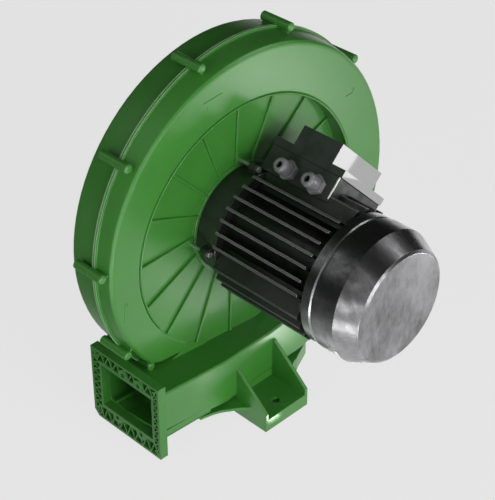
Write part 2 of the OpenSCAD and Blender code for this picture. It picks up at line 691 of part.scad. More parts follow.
module impeller_shroud() color(ALLOY) on_shaft() spin() polygon([[wheel_r, blade_at + blade_w],
    [wheel_r, blade_at + blade_w + sheet_t], [eye_r + sheet_t, blade_at + eye_w + sheet_t],
    [eye_r + sheet_t, blade_at + eye_w + sheet_t + 3], [eye_r, blade_at + eye_w + sheet_t + 3],
    [eye_r, blade_at + eye_w], [eye_r + 1, blade_at + eye_w]]);

module hub_washer() color(STEEL) on_shaft() tube(hub_r - 7, hub_bolt_r + 0.4, hub_y1, hub_y1 + 3);

module hub_bolt() color(STEEL) on_shaft() {
    rod(hub_bolt_r, hub_y1 - 22, hub_y1 + 3 + hair, small_fn);
    rod(hub_bolt_r * 1.8, hub_y1 + 3, hub_y1 + 8, 6);
}

module hub_key() color(STEEL) on_shaft()
    block([-key_w / 2, hub_y0 + 2, key_low], [key_w / 2, hub_y1 - 3, key_top]);

// Rotor of the motor

module shaft() color(STEEL) on_shaft() difference() {
    turned() polygon([[0, -hub_y1 + 2], [shaft_r - 1, -hub_y1 + 2], [shaft_r, -hub_y1 + 3], [shaft_r, drive_bearing_at],
        [bearing_bore, drive_bearing_at], [bearing_bore, drive_bearing_at + bearing_w],
        [rotor_bore, drive_bearing_at + bearing_w], [rotor_bore, rear_bearing_at],
        [bearing_bore, rear_bearing_at], [bearing_bore, rear_bearing_at + bearing_w],
        [fan_bore, rear_bearing_at + bearing_w], [fan_bore, clip_at], [fan_bore - 1, clip_at],
        [fan_bore - 1, clip_at + 1.3], [fan_bore, clip_at + 1.3], [fan_bore, clip_at + 4],
        [fan_bore - 1, clip_at + 5], [0, clip_at + 5]]);
    rod(hub_bolt_r + hair, hub_y1 - 24, hub_y1, small_fn);
    block([-key_w / 2 - hair, hub_y0 + 2 - hair, key_low - hair], [key_w / 2 + hair, hub_y1 - 3 + hair, key_top]);
}

module rotor_core() color(STEEL) on_shaft() {
    tube(rotor_r, rotor_bore + hair, -core_end, -core_start);
    tube(rotor_r - 2, rotor_r - 14, -core_end - 8, -core_end + hair);
    tube(rotor_r - 2, rotor_r - 14, -core_start - hair, -core_start + 8);
}

// Cooling fan: hub, disc and straight blades
module cooling_fan() color(DARK) on_shaft() difference() {
    union() {
        rod(fan_bore + 7, -clip_at, -fan_start);
        rod(fan_r - 4, -fan_start - 3, -fan_start);
        around(7) block([fan_bore + 5, -clip_at, -1.2], [fan_r, -fan_start - 1, 1.2]);
    }
    rod(fan_bore + hair, -clip_at - 1, -fan_start + 1);
}

module fan_clip() color(STEEL) on_shaft() difference() {
    tube(fan_bore + 3, fan_bore - 1 + hair, -clip_at - 1.2, -clip_at);
    block([-3, -clip_at - 2, 0], [3, -clip_at + 1, fan_bore + 4]);
}

// Bearings, from the end nearer the casing

module race_outer(at) turned() difference() {
    translate([race_r - 5, at]) square([5 - hair, bearing_w]);
    translate([ball_at, at + bearing_w / 2]) circle(r = ball_r + 0.1, $fn = small_fn);
}

module race_inner(at) turned() difference() {
    translate([bearing_bore + hair, at]) square([5, bearing_w]);
    translate([ball_at, at + bearing_w / 2]) circle(r = ball_r + 0.1, $fn = small_fn);
}

module balls(at) around(9) translate([ball_at, -at - bearing_w / 2, 0]) sphere(r = ball_r, $fn = small_fn);

module drive_bearing_outer() color(STEEL) on_shaft() race_outer(drive_bearing_at);
module drive_bearing_inner() color(STEEL) on_shaft() race_inner(drive_bearing_at);
module drive_bearing_balls() color(STEEL) on_shaft() balls(drive_bearing_at);
module rear_bearing_outer() color(STEEL) on_shaft() race_outer(rear_bearing_at);
module rear_bearing_inner() color(STEEL) on_shaft() race_inner(rear_bearing_at);
module rear_bearing_balls() color(STEEL) on_shaft() balls(rear_bearing_at);

module preload_washer() color(STEEL) on_shaft()
    tube(race_r - hair, race_r - 4, -rear_bearing_at - bearing_w - 1, -rear_bearing_at - bearing_w);

// Motor housing

// Places children at the motor's four lugs
module at_lugs() around(4) translate([lug_at, 0, 0]) children();

module drive_end_shield() color(DARK) on_shaft() difference() {
    union() {
        turned() polygon([[shaft_r + 1.5, floor_hub], [motor_flange_r, floor_hub], [motor_flange_r, floor_hub + 8],
            [shield_r, frame_start - 6], [shield_r, frame_start], [frame_bore - 0.1, frame_start],
            [frame_bore - 0.1, frame_start + 5], [frame_bore - 6, frame_start + 5], [frame_bore - 6, frame_start - 6],
            [frame_bore - 10, floor_hub + 9], [race_r + 7, floor_hub + 9], [race_r + 7, drive_bearing_end],
            [race_r, drive_bearing_end], [race_r, drive_bearing_at], [shaft_r + 1.5, drive_bearing_at]]);
        at_lugs() rod(lug_r, -lug_end, -lug_start, small_fn);
        around(4) block([motor_flange_r - 4, -lug_end, -lug_r], [lug_at, -lug_start, lug_r]);
    }
    at_lugs() rod(motor_screw_r + screw_gap, -lug_end - 1, -lug_start + 1, small_fn);
    at_ties() rod(tie_r + screw_gap, -frame_start - 1, -frame_start + 10, small_fn);
}

module motor_screws() color(STEEL) on_shaft() at_lugs() {
    rod(motor_screw_r, -lug_end - hair, -floor_hub + 1, small_fn);
    rod(motor_head_r, -lug_end - 4, -lug_end, 6);
}

// Places children along the four tie bolts
module at_ties() around(4, 45) translate([(frame_r + frame_bore) / 2 - 0.8, 0, 0]) children();

// Fins of one quadrant, parallel to the quadrant's middle line
module quadrant_fins() for (i = [-3:3])
    block([frame_r - 26, -frame_end + 1.5, i * fin_pitch - fin_t / 2],
        [fin_r, -frame_start - 1.5, i * fin_pitch + fin_t / 2]);

module stator_frame() color(DARK) on_shaft() difference() {
    union() {
        rod(frame_r, -frame_end, -frame_start);
        intersection() {
            for (q = [0:3]) rotate([0, 45 + q * 90, 0]) quadrant_fins();
            rod(fin_r, -frame_end, -frame_start);
        }
        at_box() block([-pad_w, -box_mid - 40, frame_r - 20], [pad_w, -box_mid + 40, box_under + 4]);
    }
    rod(frame_bore, -frame_end - 1, -frame_start + 1);
    at_ties() rod(tie_r + screw_gap, -frame_end - 1, -frame_start + 1, small_fn);
    at_box() difference() {
        block([-box_w / 2 - 1, -box_near - box_len - 1, box_under - part_gap],
            [box_w / 2 + 1, -box_near + 1, box_top]);
        block([-pad_w, -box_mid - 40, box_under - 1], [pad_w, -box_mid + 40, box_under + 4]);
    }
    at_box_screws() cylinder(r = box_screw_r, h = 30, $fn = small_fn);
    at_glands() cylinder(r = gland_af / 2 / cos(30) + part_gap, h = gland_len, $fn = small_fn);
}

module stator_core() color(STEEL) on_shaft() tube(frame_bore - hair, rotor_r + 0.5, -core_end, -core_start);

module stator_windings() color([0.6, 0.35, 0.15]) on_shaft() {
    tube(frame_bore - 6, rotor_r + 4, -core_start, -core_start + 14);
    tube(frame_bore - 6, rotor_r + 4, -core_end - 14, -core_end);
}

module rear_shield() color(DARK) on_shaft() difference() {
    union() {
        turned() polygon([[race_r, rear_bearing_at], [race_r + 6, rear_bearing_at], [race_r + 6, frame_end + 2],
            [frame_bore - 6, frame_end + 2], [frame_bore - 6, frame_end - 5], [frame_bore - 0.1, frame_end - 5],
            [frame_bore - 0.1, frame_end], [frame_r + 4, frame_end], [frame_r + 4, frame_end + 6],
            [race_r + 8, frame_end + 6], [race_r + 4, rear_bearing_at + bearing_w + 4],
            [bearing_bore + 1.5, rear_bearing_at + bearing_w + 4],
            [bearing_bore + 1.5, rear_bearing_at + bearing_w + 1], [race_r, rear_bearing_at + bearing_w + 1]]);
        around(4) block([frame_r, -cowl_start - 9, -7], [cowl_r - 3.4, -frame_end, 7]);
        around(4) intersection() {
            block([frame_r, -cowl_start - 9, -7], [cowl_r, -cowl_start - 1, 7]);
            rod(cowl_rim_r - cowl_t - 0.05, -cowl_start - 9, -cowl_start);
        }
    }
    at_ties() rod(tie_r + screw_gap, -frame_end - 7, -frame_end + 1, small_fn);
    at_cowl_screws() cylinder(r = 1.6, h = 12, $fn = small_fn);
}

module tie_bolts() color(STEEL) on_shaft() at_ties() {
    rod(tie_r, -frame_end - 6 - hair, -frame_start + 8, small_fn);
    rod(tie_r * 1.8, -frame_end - 9, -frame_end - 6, 6);
}

// Fan cowl, a drawn sheet with a flat end
module fan_cowl() color(DARK) on_shaft() difference() {
    turned() difference() {
        polygon(cowl_line(0));
        polygon(cowl_line(cowl_t));
    }
    at_cowl_screws() cylinder(r = 1.7, h = 40, $fn = small_fn);
}

// Profile of the cowl, g inside its outer face
function cowl_line(g) = [[0, cowl_start], [cowl_rim_r - g, cowl_start], [cowl_rim_r - g, cowl_start + 13],
    [cowl_rim_r - 1.6 - g, cowl_start + 15], [cowl_rim_r - 1.6 - g, cowl_start + 17],
    [cowl_r - g, cowl_start + 19.4], [cowl_r - g, cowl_cone], [cowl_end_r + 4 - g * 0.8, cowl_end - 2.5 - g * 0.8],
    [cowl_end_r - g, cowl_end - g], [0, cowl_end - g]];

// Places children on the radial cowl screws
module at_cowl_screws() for (a = [0, 90]) rotate([0, a, 0]) translate([cowl_rim_r - 10, -cowl_start - 5, 0])
    rotate([0, 90, 0]) children();

module cowl_screws() color(STEEL) on_shaft() at_cowl_screws() {
    cylinder(r = 1.5, h = 10 + hair, $fn = small_fn);
    translate([0, 0, 10]) cylinder(r = 3, h = 2, $fn = small_fn);
}

// Terminal box, drawn with X across the motor and Z away from the shaft

module at_box() rotate([0, 45, 0]) children();
module at_box_screws() at_box() for (x = [-20, 20], y = [-20, 20])
    translate([x, -box_mid + y, box_floor - 12]) children();
module at_glands() at_box() for (d = gland_rows) translate([-box_w / 2, -d, gland_z]) rotate([0, -90, 0]) children();
module at_lid_screws() at_box() for (x = [-1, 1], y = [-1, 1])
    translate([x * (box_w / 2 - 7), -box_mid + y * (box_len / 2 - 6), 0]) children();

module terminal_box() color(DARK) on_shaft() difference() {
    at_box() difference() {
        block([-box_w / 2, -box_near - box_len, box_under], [box_w / 2, -box_near, box_top]);
        block([-box_w / 2 + box_t, -box_near - box_len + box_t, box_under - 1],
            [box_w / 2 - box_t, -box_near - box_t, box_floor]);
        difference() {
            block([-box_w / 2 + box_t, -box_near - box_len + box_t, box_floor + box_t],
                [box_w / 2 - box_t, -box_near - box_t, box_top + 1]);
            for (x = [-1, 1], y = [-1, 1])
                translate([x * (box_w / 2 - 7), -box_mid + y * (box_len / 2 - 6), box_floor])
                cylinder(r = 5, h = box_top, $fn = small_fn);
            rod(shield_r + part_gap + box_t, -frame_start - part_gap - box_t, -box_near + 1);
        }
    }
    rod(shield_r + part_gap, -frame_start - part_gap, -box_near + 1);
    at_box_screws() cylinder(r = box_screw_r + 0.3, h = 30, $fn = small_fn);
    at_glands() translate([0, 0, -10]) cylinder(r = gland_thread_r + hair, h = 20, $fn = small_fn);
    at_lid_screws() translate([0, 0, box_top - 12]) cylinder(r = 1.8, h = 20, $fn = small_fn);
}

module box_screws() color(STEEL) on_shaft() at_box_screws() {
    cylinder(r = box_screw_r - 0.1, h = 12 + box_t + hair, $fn = small_fn);
    translate([0, 0, 12 + box_t]) cylinder(r = box_screw_r * 1.9, h = 3, $fn = small_fn);
}

module box_gasket() color(DARK) on_shaft() difference() {
    at_box() difference() {
        block([-box_w / 2, -box_near - box_len, box_top], [box_w / 2, -box_near, box_top + gasket_t]);
        block([-box_w / 2 + 11, -box_near - box_len + 11, box_top - 1],
            [box_w / 2 - 11, -box_near - 11, box_top + gasket_t + 1]);
    }
    at_lid_screws() translate([0, 0, box_top - 1]) cylinder(r = 2.1, h = 10, $fn = small_fn);
}

module terminal_lid() color(ALLOY) on_shaft() difference() {
    at_box() difference() {
        union() {
            block([-box_w / 2, -box_near - box_len - 2, lid_low], [box_w / 2, -box_near + 2, lid_low + lid_edge_t]);
            block([-box_w / 2, -lid_raise_at - lid_raise_len, lid_low], [box_w / 2, -lid_raise_at, lid_top]);
        }
        block([-box_w / 2 + 4, -lid_raise_at - lid_raise_len + 4, lid_low - 1],
            [box_w / 2 - 4, -lid_raise_at - 4, lid_top - 4]);
    }
    at_lid_screws() translate([0, 0, lid_low - 1]) cylinder(r = 2.1, h = 40, $fn = small_fn);
    at_lid_screws() translate([0, 0, lid_low + 5]) cylinder(r = 4, h = 40, $fn = small_fn);
}

module lid_screws() color(STEEL) on_shaft() at_lid_screws() {
    translate([0, 0, lid_low - 9]) cylinder(r = 1.7, h = 14 + hair, $fn = small_fn);
    translate([0, 0, lid_low + 5]) cylinder(r = 3.4, h = 3, $fn = small_fn);
}

module terminal_block() color(DARK) on_shaft() at_box() difference() {
    block([-26, -box_mid - 12, box_floor + box_t], [26, -box_mid + 12, box_floor + box_t + 11]);
    at_studs() translate([0, 0, -6]) cylinder(r = 2 + hair, h = 20, $fn = small_fn);
}

// Places children on the terminal studs, at the top of the block
module at_studs() for (x = [-16, 0, 16], y = [-6, 6])
    translate([x, -box_mid + y, box_floor + box_t + 11]) children();

module terminal_studs() color([0.75, 0.6, 0.25]) on_shaft() at_box() at_studs() {
    translate([0, 0, -6 + hair]) cylinder(r = 2, h = 15, $fn = small_fn);
    cylinder(r = 3.9, h = 3, $fn = 6);
}

module earth_screw() color(STEEL) on_shaft() at_box() translate([40, -box_mid, box_floor + box_t]) {
    cylinder(r = 6, h = 1.2, $fn = small_fn);
    translate([0, 0, 1.2 - hair]) cylinder(r = 4, h = 3.4, $fn = 6);
}

// Cable glands, drawn with Z out of the box
module gland_bodies() color(ALLOY) on_shaft() at_glands() difference() {
    union() {
        cylinder(r = gland_af / 2 / cos(30), h = 8, $fn = 6);
        translate([0, 0, -9]) cylinder(r = gland_thread_r, h = 9 + hair, $fn = small_fn);
        cylinder(r = 8, h = 20, $fn = small_fn);
    }
    translate([0, 0, -10]) cylinder(r = gland_bore_r + 2, h = 31, $fn = small_fn);
}

module gland_nuts() color(ALLOY) on_shaft() at_glands() rotate_extrude($fn = small_fn)
    polygon([[8 + hair, 8], [gland_nut_r, 8], [gland_nut_r, 23], [gland_nut_r - 1.2, 26], [gland_nut_r - 3.5, gland_len],
        [gland_bore_r, gland_len], [gland_bore_r, 24], [gland_bore_r + 1, 20], [8 + hair, 20]]);

module gland_seals() color(DARK) on_shaft() at_glands() difference() {
    cylinder(r = gland_bore_r + 2 - hair, h = 19.8, $fn = small_fn);
    translate([0, 0, -1]) cylinder(r = gland_bore_r, h = 30, $fn = small_fn);
}

front_casing();
rear_casing();
casing_screws();
discharge_flange();
inlet_ring();
inlet_screws();
inlet_guard();
guard_screws();
shaft_seal();
impeller_hub();
impeller_backplate();
impeller_blades();
impeller_shroud();
hub_washer();
hub_bolt();
hub_key();
shaft();
rotor_core();
cooling_fan();
fan_clip();
drive_bearing_outer();
drive_bearing_balls();
drive_bearing_inner();
rear_bearing_outer();
rear_bearing_balls();
rear_bearing_inner();
preload_washer();
drive_end_shield();
motor_screws();
stator_frame();
stator_core();
stator_windings();
rear_shield();
tie_bolts();
fan_cowl();
cowl_screws();
terminal_box();
box_screws();
box_gasket();
terminal_lid();
lid_screws();
terminal_block();
terminal_studs();
earth_screw();
gland_bodies();
gland_nuts();
gland_seals();
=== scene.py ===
"""Dresses the centrifugal blower: moulded casing, finned motor, terminal box and a pale studio.

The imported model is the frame. Its nodes keep their places. Each visible one gets a finish, and where
softened corners show, a refined copy stands for it. Fine detail that the solids leave out is added here.
"""

from __future__ import annotations

import logging
import math
from dataclasses import dataclass
from enum import Enum
from typing import Callable, Sequence, Union

import bpy
from mathutils import Matrix, Vector

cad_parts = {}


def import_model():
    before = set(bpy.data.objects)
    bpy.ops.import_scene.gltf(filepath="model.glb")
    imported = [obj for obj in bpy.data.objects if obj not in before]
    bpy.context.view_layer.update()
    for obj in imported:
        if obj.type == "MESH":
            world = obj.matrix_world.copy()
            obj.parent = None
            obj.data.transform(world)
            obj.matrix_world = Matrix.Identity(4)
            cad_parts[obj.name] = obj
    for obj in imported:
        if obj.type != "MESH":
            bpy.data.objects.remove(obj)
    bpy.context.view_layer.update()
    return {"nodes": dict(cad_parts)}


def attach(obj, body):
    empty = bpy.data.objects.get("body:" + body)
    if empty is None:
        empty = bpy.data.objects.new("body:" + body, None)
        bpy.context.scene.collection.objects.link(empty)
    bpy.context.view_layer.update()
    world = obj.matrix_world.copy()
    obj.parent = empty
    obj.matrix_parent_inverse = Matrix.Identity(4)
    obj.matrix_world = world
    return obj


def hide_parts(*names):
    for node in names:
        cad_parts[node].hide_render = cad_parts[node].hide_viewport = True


LOG = logging.getLogger("blower")
MM = 0.001
MERGE = 0.000002
SQUARE_ON = 0.99
CORNER_GAIN = 6.0

Colour = tuple[float, float, float]
Place = tuple[float, float, float]
Piece = bpy.types.Object
Node = bpy.types.Node
Socket = bpy.types.NodeSocket

SHAFT = Vector((0.0185, 0.010, 0.278))


class Body(Enum):
    """The two bodies of the blower."""

    CASING = "casing"
    ROTOR = "rotor"


# Shader graphs


class Flow:
    """A number that runs through a material, on which Python's operators add Math nodes."""

    def __init__(self, graph: Graph, socket: Socket) -> None:
        """Wraps a socket of a graph."""
        self.graph = graph
        self.socket = socket

    def _math(self, operation: str, *values: Value, clamp: bool = False) -> Flow:
        """Adds one Math node on the values.

        Args:
            operation: The node's operation.
            values: The node's inputs, in order.
            clamp: Whether the result is held between 0 and 1.

        Returns:
            The node's result.
        """
        node = self.graph.add("ShaderNodeMath", dict(enumerate(values)), operation=operation, use_clamp=clamp)
        return Flow(self.graph, node.outputs[0])

    def __add__(self, other: Value) -> Flow:
        """Adds."""
        return self._math("ADD", self, other)

    def __radd__(self, other: Value) -> Flow:
        """Adds, from the right."""
        return self._math("ADD", other, self)

    def __sub__(self, other: Value) -> Flow:
        """Subtracts."""
        return self._math("SUBTRACT", self, other)

    def __rsub__(self, other: Value) -> Flow:
        """Subtracts, from the right."""
        return self._math("SUBTRACT", other, self)

    def __mul__(self, other: Value) -> Flow:
        """Multiplies."""
        return self._math("MULTIPLY", self, other)

    def __rmul__(self, other: Value) -> Flow:
        """Multiplies, from the right."""
        return self._math("MULTIPLY", other, self)

    def held(self) -> Flow:
        """Holds the number between 0 and 1."""
        return self._math("ADD", self, 0.0, clamp=True)


Value = Union[Flow, Socket, float, Sequence[float]]


class Graph:
    """The node tree of one material or world."""

    def __init__(self, tree: bpy.types.NodeTree) -> None:
        """Takes over a node tree and empties it."""
        self.tree = tree
        tree.nodes.clear()

    def add(self, kind: str, inputs: dict[str | int, Value] | None = None, **settings: object) -> Node:
        """Adds one node.

        Args:
            kind: The node's type.
            inputs: Values or links of its sockets, by name or number.
            settings: Its settings. "stops" are a ramp's (place, grey) pairs.

        Returns:
            The new node.
        """
        node = self.tree.nodes.new(kind)
        for name, value in settings.items():
            if name == "stops":
                self._set_stops(node, value)
            else:
                setattr(node, name, value)
        for key, value in (inputs or {}).items():
            self.feed(node.inputs[key], value)
        return node

    @staticmethod
    def _set_stops(node: Node, stops: Sequence[tuple[float, float]]) -> None:
        """Gives a ramp its grey stops.

        Args:
            node: The ramp.
            stops: Each stop's place and grey.
        """
        elements = node.color_ramp.elements
        while len(elements) < len(stops):
            elements.new(1.0)
        for element, (place, grey) in zip(elements, stops):
            element.position = place
            element.color = (grey, grey, grey, 1.0)

    def feed(self, socket: Socket, value: Value) -> None:
        """Links a flow or socket to a socket, or sets the socket's own value.

        Args:
            socket: The socket that is fed.
            value: The link or the value.
        """
        if isinstance(value, Flow):
            self.tree.links.new(value.socket, socket)
        elif isinstance(value, Socket):
            self.tree.links.new(value, socket)
        elif isinstance(value, (int, float)):
            socket.default_value = value
        else:
            values = tuple(value)
            wanted = len(socket.default_value)
            socket.default_value = values + (1.0,) * (wanted - len(values))

    def place(self, stretch: Place = (1.0, 1.0, 1.0), turn: Place = (0.0, 0.0, 0.0)) -> Socket:
        """Gives Object coordinates measured from the shaft, turned and stretched.

        Args:
            stretch: The pattern's scale along each axis.
            turn: The pattern's turn about each axis.

        Returns:
            The coordinates.
        """
        plain = self.add("ShaderNodeTexCoord").outputs["Object"]
        centred = self.add("ShaderNodeMapping", {"Vector": plain, "Location": tuple(-SHAFT)}).outputs[0]
        turned = self.add("ShaderNodeMapping", {"Vector": centred, "Scale": stretch, "Rotation": turn})
        return turned.outputs[0]

    def spot(self) -> tuple[Flow, Flow, Flow]:
        """Gives the point's X, Y and Z, measured from the shaft.

        Returns:
            The three numbers.
        """
        parts = self.add("ShaderNodeSeparateXYZ", {0: self.place()})
        x, y, z = (Flow(self, output) for output in parts.outputs)
        return x, y, z

    def noise(
        self, scale: float, detail: float = 3.0, rough: float = 0.5, where: Socket | None = None
    ) -> Flow:
        """Gives fractal noise between 0 and 1.

        Args:
            scale: Features per metre.
            detail: Octaves.
            rough: How strong the finer octaves are.
            where: The coordinates, or None for plain ones.

        Returns:
            The noise.
        """
        node = self.add(
            "ShaderNodeTexNoise",
            {"Vector": where or self.place(), "Scale": scale, "Detail": detail, "Roughness": rough},
        )
        return Flow(self, node.outputs[0])

    def ramp(self, value: Flow, *stops: tuple[float, float]) -> Flow:
        """Bends a number through grey stops."""
        node = self.add("ShaderNodeValToRGB", {0: value}, stops=stops)
        return Flow(self, node.outputs["Color"])

    def tint(self, share: Value, low: Value, high: Value) -> Socket:
        """Mixes two colours.

        Args:
            share: How much of the second shows.
            low: The colour at 0.
            high: The colour at 1.

        Returns:
            The mixed colour.
        """
        node = self.add("ShaderNodeMix", {0: share, 6: low, 7: high}, data_type="RGBA")
        return node.outputs[2]

    def rounded(self, radius: float) -> Socket:
        """Gives a normal that looks rounded at the corners."""
        return self.add("ShaderNodeBevel", {"Radius": radius}, samples=6).outputs[0]

    def corners(self, rounded: Socket) -> Flow:
        """Gives a mask that is 1 on corners, where the rounded normal leaves the true one.

        Args:
            rounded: The rounded normal.

        Returns:
            The mask.
        """
        true = self.add("ShaderNodeNewGeometry").outputs["Normal"]
        dot = self.add("ShaderNodeVectorMath", {0: rounded, 1: true}, operation="DOT_PRODUCT")
        return ((1.0 - Flow(self, dot.outputs["Value"])) * CORNER_GAIN).held()

    def blend(self, share: Value, first: Node, second: Node) -> Node:
        """Mixes two shaders: the share is how much of the second shows."""
        return self.add("ShaderNodeMixShader", {0: share, 1: first.outputs[0], 2: second.outputs[0]})

    def relief(self, height: Flow, distance: float, strength: float, under: Socket) -> Socket:
        """Turns a height into a normal.

        Args:
            height: The height between 0 and 1.
            distance: Its real depth in metres.
            strength: How strongly it shows.
            under: The normal that it lies on.

        Returns:
            The normal.
        """
        node = self.add(
            "ShaderNodeBump", {"Height": height, "Distance": distance, "Strength": strength, "Normal": under}
        )
        return node.outputs[0]


# Finishes

Drawn = tuple[Value, Value, Socket]
MADE: dict[str, bpy.types.Material] = {}


@dataclass(frozen=True)
class Finish:
    """A surface: its name, the record's slot, its colour, gloss and how softly its corners turn."""

    name: str
    slot: str
    colour: Colour
    roughness: float
    metallic: float = 0.0
    corner: float = 0.0005
    specular: float = 0.5
    coat: float = 0.0
    coat_roughness: float = 0.15
    mottle: float = 0.1
    mottle_scale: float = 40.0
    cloud_spread: float = 0.08
    grain_scale: float = 900.0
    grain_depth: float = 0.00002
    grain_spread: float = 0.04
    relief: float = 0.35
    # Share of the painted highlight, partly edge wear, that lightens the corners.
    corner_light: float = 0.0
    wear_and_highlight_gain: float = 1.6
    wear_and_highlight_lift: float = 0.03

    def material(self) -> bpy.types.Material:
        """Gives the finish's material, made once.

        Returns:
            The material.
        """
        if self.name in MADE:
            return MADE[self.name]
        material = MADE[self.name] = bpy.data.materials.new(f"{self.name}_finish")
        material.use_nodes = True
        graph = Graph(material.node_tree)
        normal = graph.rounded(self.corner)
        colour, roughness, relief = self.surface(graph, normal)
        shader = graph.add(
            "ShaderNodeBsdfPrincipled",
            {
                "Base Color": colour,
                "Roughness": roughness,
                "Metallic": self.metallic,
                "Specular IOR Level": self.specular,
                "Coat Weight": self.coat,
                "Coat Roughness": self.coat_roughness,
                "Normal": relief,
            },
        )
        graph.add("ShaderNodeOutputMaterial", {"Surface": shader.outputs[0]})
        material.diffuse_color = (*self.colour, 1.0)
        return material

    def surface(self, graph: Graph, normal: Socket) -> Drawn:
        """Draws the surface's pattern.

        Args:
            graph: The material's graph.
            normal: The normal with its rounded corners.

        Returns:
            The colour, the roughness and the normal.
        """
        cloud = graph.noise(self.mottle_scale, 4.0, 0.6)
        grain = graph.noise(self.grain_scale, 2.0)
        colour = self.shaded(graph, cloud, normal)
        least = self.roughness - (self.cloud_spread + self.grain_spread) / 2
        roughness = least + cloud * self.cloud_spread + grain * self.grain_spread
        return colour, roughness, graph.relief(grain, self.grain_depth, self.relief, normal)

    def shaded(self, graph: Graph, cloud: Flow, normal: Socket) -> Value:
        """Gives the colour with clouds over it and lighter corners, a painted highlight that is partly edge
        wear.

        Args:
            graph: The material's graph.
            cloud: Noise between 0 and 1.
            normal: The normal with its rounded corners.

        Returns:
            The colour.
        """
        low = tuple(c * (1.0 - self.mottle) for c in self.colour)
        high = tuple(min(1.0, c * (1.0 + self.mottle)) for c in self.colour)
        colour: Value = graph.tint(graph.ramp(cloud, (0.3, 0.0), (0.7, 1.0)), low, high)
        # Corners are lightened towards a paler colour: a painted highlight along the edges, partly edge wear.
        if self.corner_light:
            wear_and_highlight = tuple(min(1.0, c * self.wear_and_highlight_gain + self.wear_and_highlight_lift) for c in self.colour)
            colour = graph.tint(graph.corners(normal) * self.corner_light, colour, wear_and_highlight)
        return colour


@dataclass(frozen=True)
class MottledPaint(Finish):
    """Semi-gloss paint over a casting, cloudy in gloss and in depth."""

    cloud_spread: float = 0.3
    grain_spread: float = 0.06
    relief: float = 0.5

    def surface(self, graph: Graph, normal: Socket) -> Drawn:
        """Draws the paint.

        Args:
            graph: The material's graph.
            normal: The normal with its rounded corners.

        Returns:
            The colour, the roughness and the normal.
        """
        cloud = graph.noise(self.mottle_scale, 6.0, 0.65)
        speckle = graph.noise(self.grain_scale, 3.0, 0.7)
        colour = self.shaded(graph, cloud, normal)
        gloss = graph.ramp(cloud, (0.35, 0.0), (0.68, 1.0))
        roughness = self.roughness + gloss * self.cloud_spread + speckle * self.grain_spread
        return colour, roughness, graph.relief(speckle, self.grain_depth, self.relief, normal)


@dataclass(frozen=True)
class FinnedPaint(MottledPaint):
    """Mottled paint with a painted highlight on what lies farthest from the shaft, stronger above the shaft
    than below it.
    """

    # Where the painted highlight on the fin tips begins, and its colour.
    tip_highlight_radius: float = 0.0926
    rubbing_and_sheen: Colour = (0.55, 0.55, 0.54)
    tip_edge: float = 20000.0
    upper_slope: float = 30.0
    upper_start: float = 0.1
    lower_share: float = 0.3
    corner_share: float = 2.4
    flat_share: float = 0.16

    def shaded(self, graph: Graph, cloud: Flow, normal: Socket) -> Value:
        """Gives the colour with a painted highlight on the fin tips, stronger above the shaft than below it.

        Args:
            graph: The material's graph.
            cloud: Noise between 0 and 1.
            normal: The normal with its rounded corners.

        Returns:
            The colour.
        """
        colour = super().shaded(graph, cloud, normal)
        across, _, over = graph.spot()
        beyond = across * across + over * over - self.tip_highlight_radius * self.tip_highlight_radius
        upper = (over * self.upper_slope + self.upper_start).held()
        upper = upper * (1.0 - self.lower_share) + self.lower_share
        # Painted highlight: the fin tips are lightened, more above the shaft where the light falls, and most
        # on their corners.
        tip = (beyond * self.tip_edge).held() * upper
        corner_sheen = (graph.corners(normal) * self.corner_share + self.flat_share).held()
        return graph.tint(tip * corner_sheen, colour, self.rubbing_and_sheen)


@dataclass(frozen=True)
class DrawnSheet(Finish):
    """Bare drawn sheet with rubbed streaks and cloudy stains."""

    dark: Colour = (0.08, 0.08, 0.08)
    metallic: float = 1.0
    lean: Place = (0.0, 0.6, 0.0)
    streak_stretch: Place = (2.2, 1.0, 0.8)
    rubbed_stretch: Place = (2.4, 1.0, 0.5)
    streak_scale: float = 60.0
    stain_scale: float = 13.0
    rubbed_scale: float = 420.0
    streak_share: float = 0.35
    rubbed_share: float = 0.15
    cloud_spread: float = 0.14
    grain_spread: float = 0.08
    relief: float = 0.4

    def surface(self, graph: Graph, normal: Socket) -> Drawn:
        """Draws the sheet.

        Args:
            graph: The material's graph.
            normal: The normal with its rounded corners.

        Returns:
            The colour, the roughness and the normal.
        """
        streaks = graph.noise(self.streak_scale, 5.0, 0.6, graph.place(self.streak_stretch, self.lean))
        stains = graph.noise(self.stain_scale, 5.0, 0.6)
        rubbing_and_sheen = graph.noise(self.rubbed_scale, 4.0, 0.6, graph.place(self.rubbed_stretch, self.lean))
        cloud = streaks * self.streak_share + stains * (1.0 - self.streak_share)
        share = graph.ramp(cloud, (0.40, 0.0), (0.62, 1.0))
        bright = share * (1.0 - self.rubbed_share) + rubbing_and_sheen * self.rubbed_share
        colour = graph.tint(bright.held(), self.dark, self.colour)
        roughness = self.roughness + (1.0 - share) * self.cloud_spread + rubbing_and_sheen * self.grain_spread
        return colour, roughness, graph.relief(rubbing_and_sheen, self.grain_depth, self.relief, normal)


@dataclass(frozen=True)
class BrushedMetal(Finish):
    """Metal ground or brushed along one direction."""

    metallic: float = 1.0
    along: Place = (1.0, 12.0, 1.0)
    line_scale: float = 300.0
    cloud_share: float = 0.6
    gloss_spread: float = 0.1
    relief: float = 0.3

    def surface(self, graph: Graph, normal: Socket) -> Drawn:
        """Draws the metal.

        Args:
            graph: The material's graph.
            normal: The normal with its rounded corners.

        Returns:
            The colour, the roughness and the normal.
        """
        lines = graph.noise(self.line_scale, 3.0, 0.6, graph.place(self.along))
        cloud = graph.noise(self.mottle_scale, 4.0, 0.6)
        share = cloud * self.cloud_share + lines * (1.0 - self.cloud_share)
        colour = self.shaded(graph, share, normal)
        roughness = self.roughness + (lines + cloud * self.cloud_share) * self.gloss_spread
        return colour, roughness, graph.relief(lines, self.grain_depth, self.relief, normal)


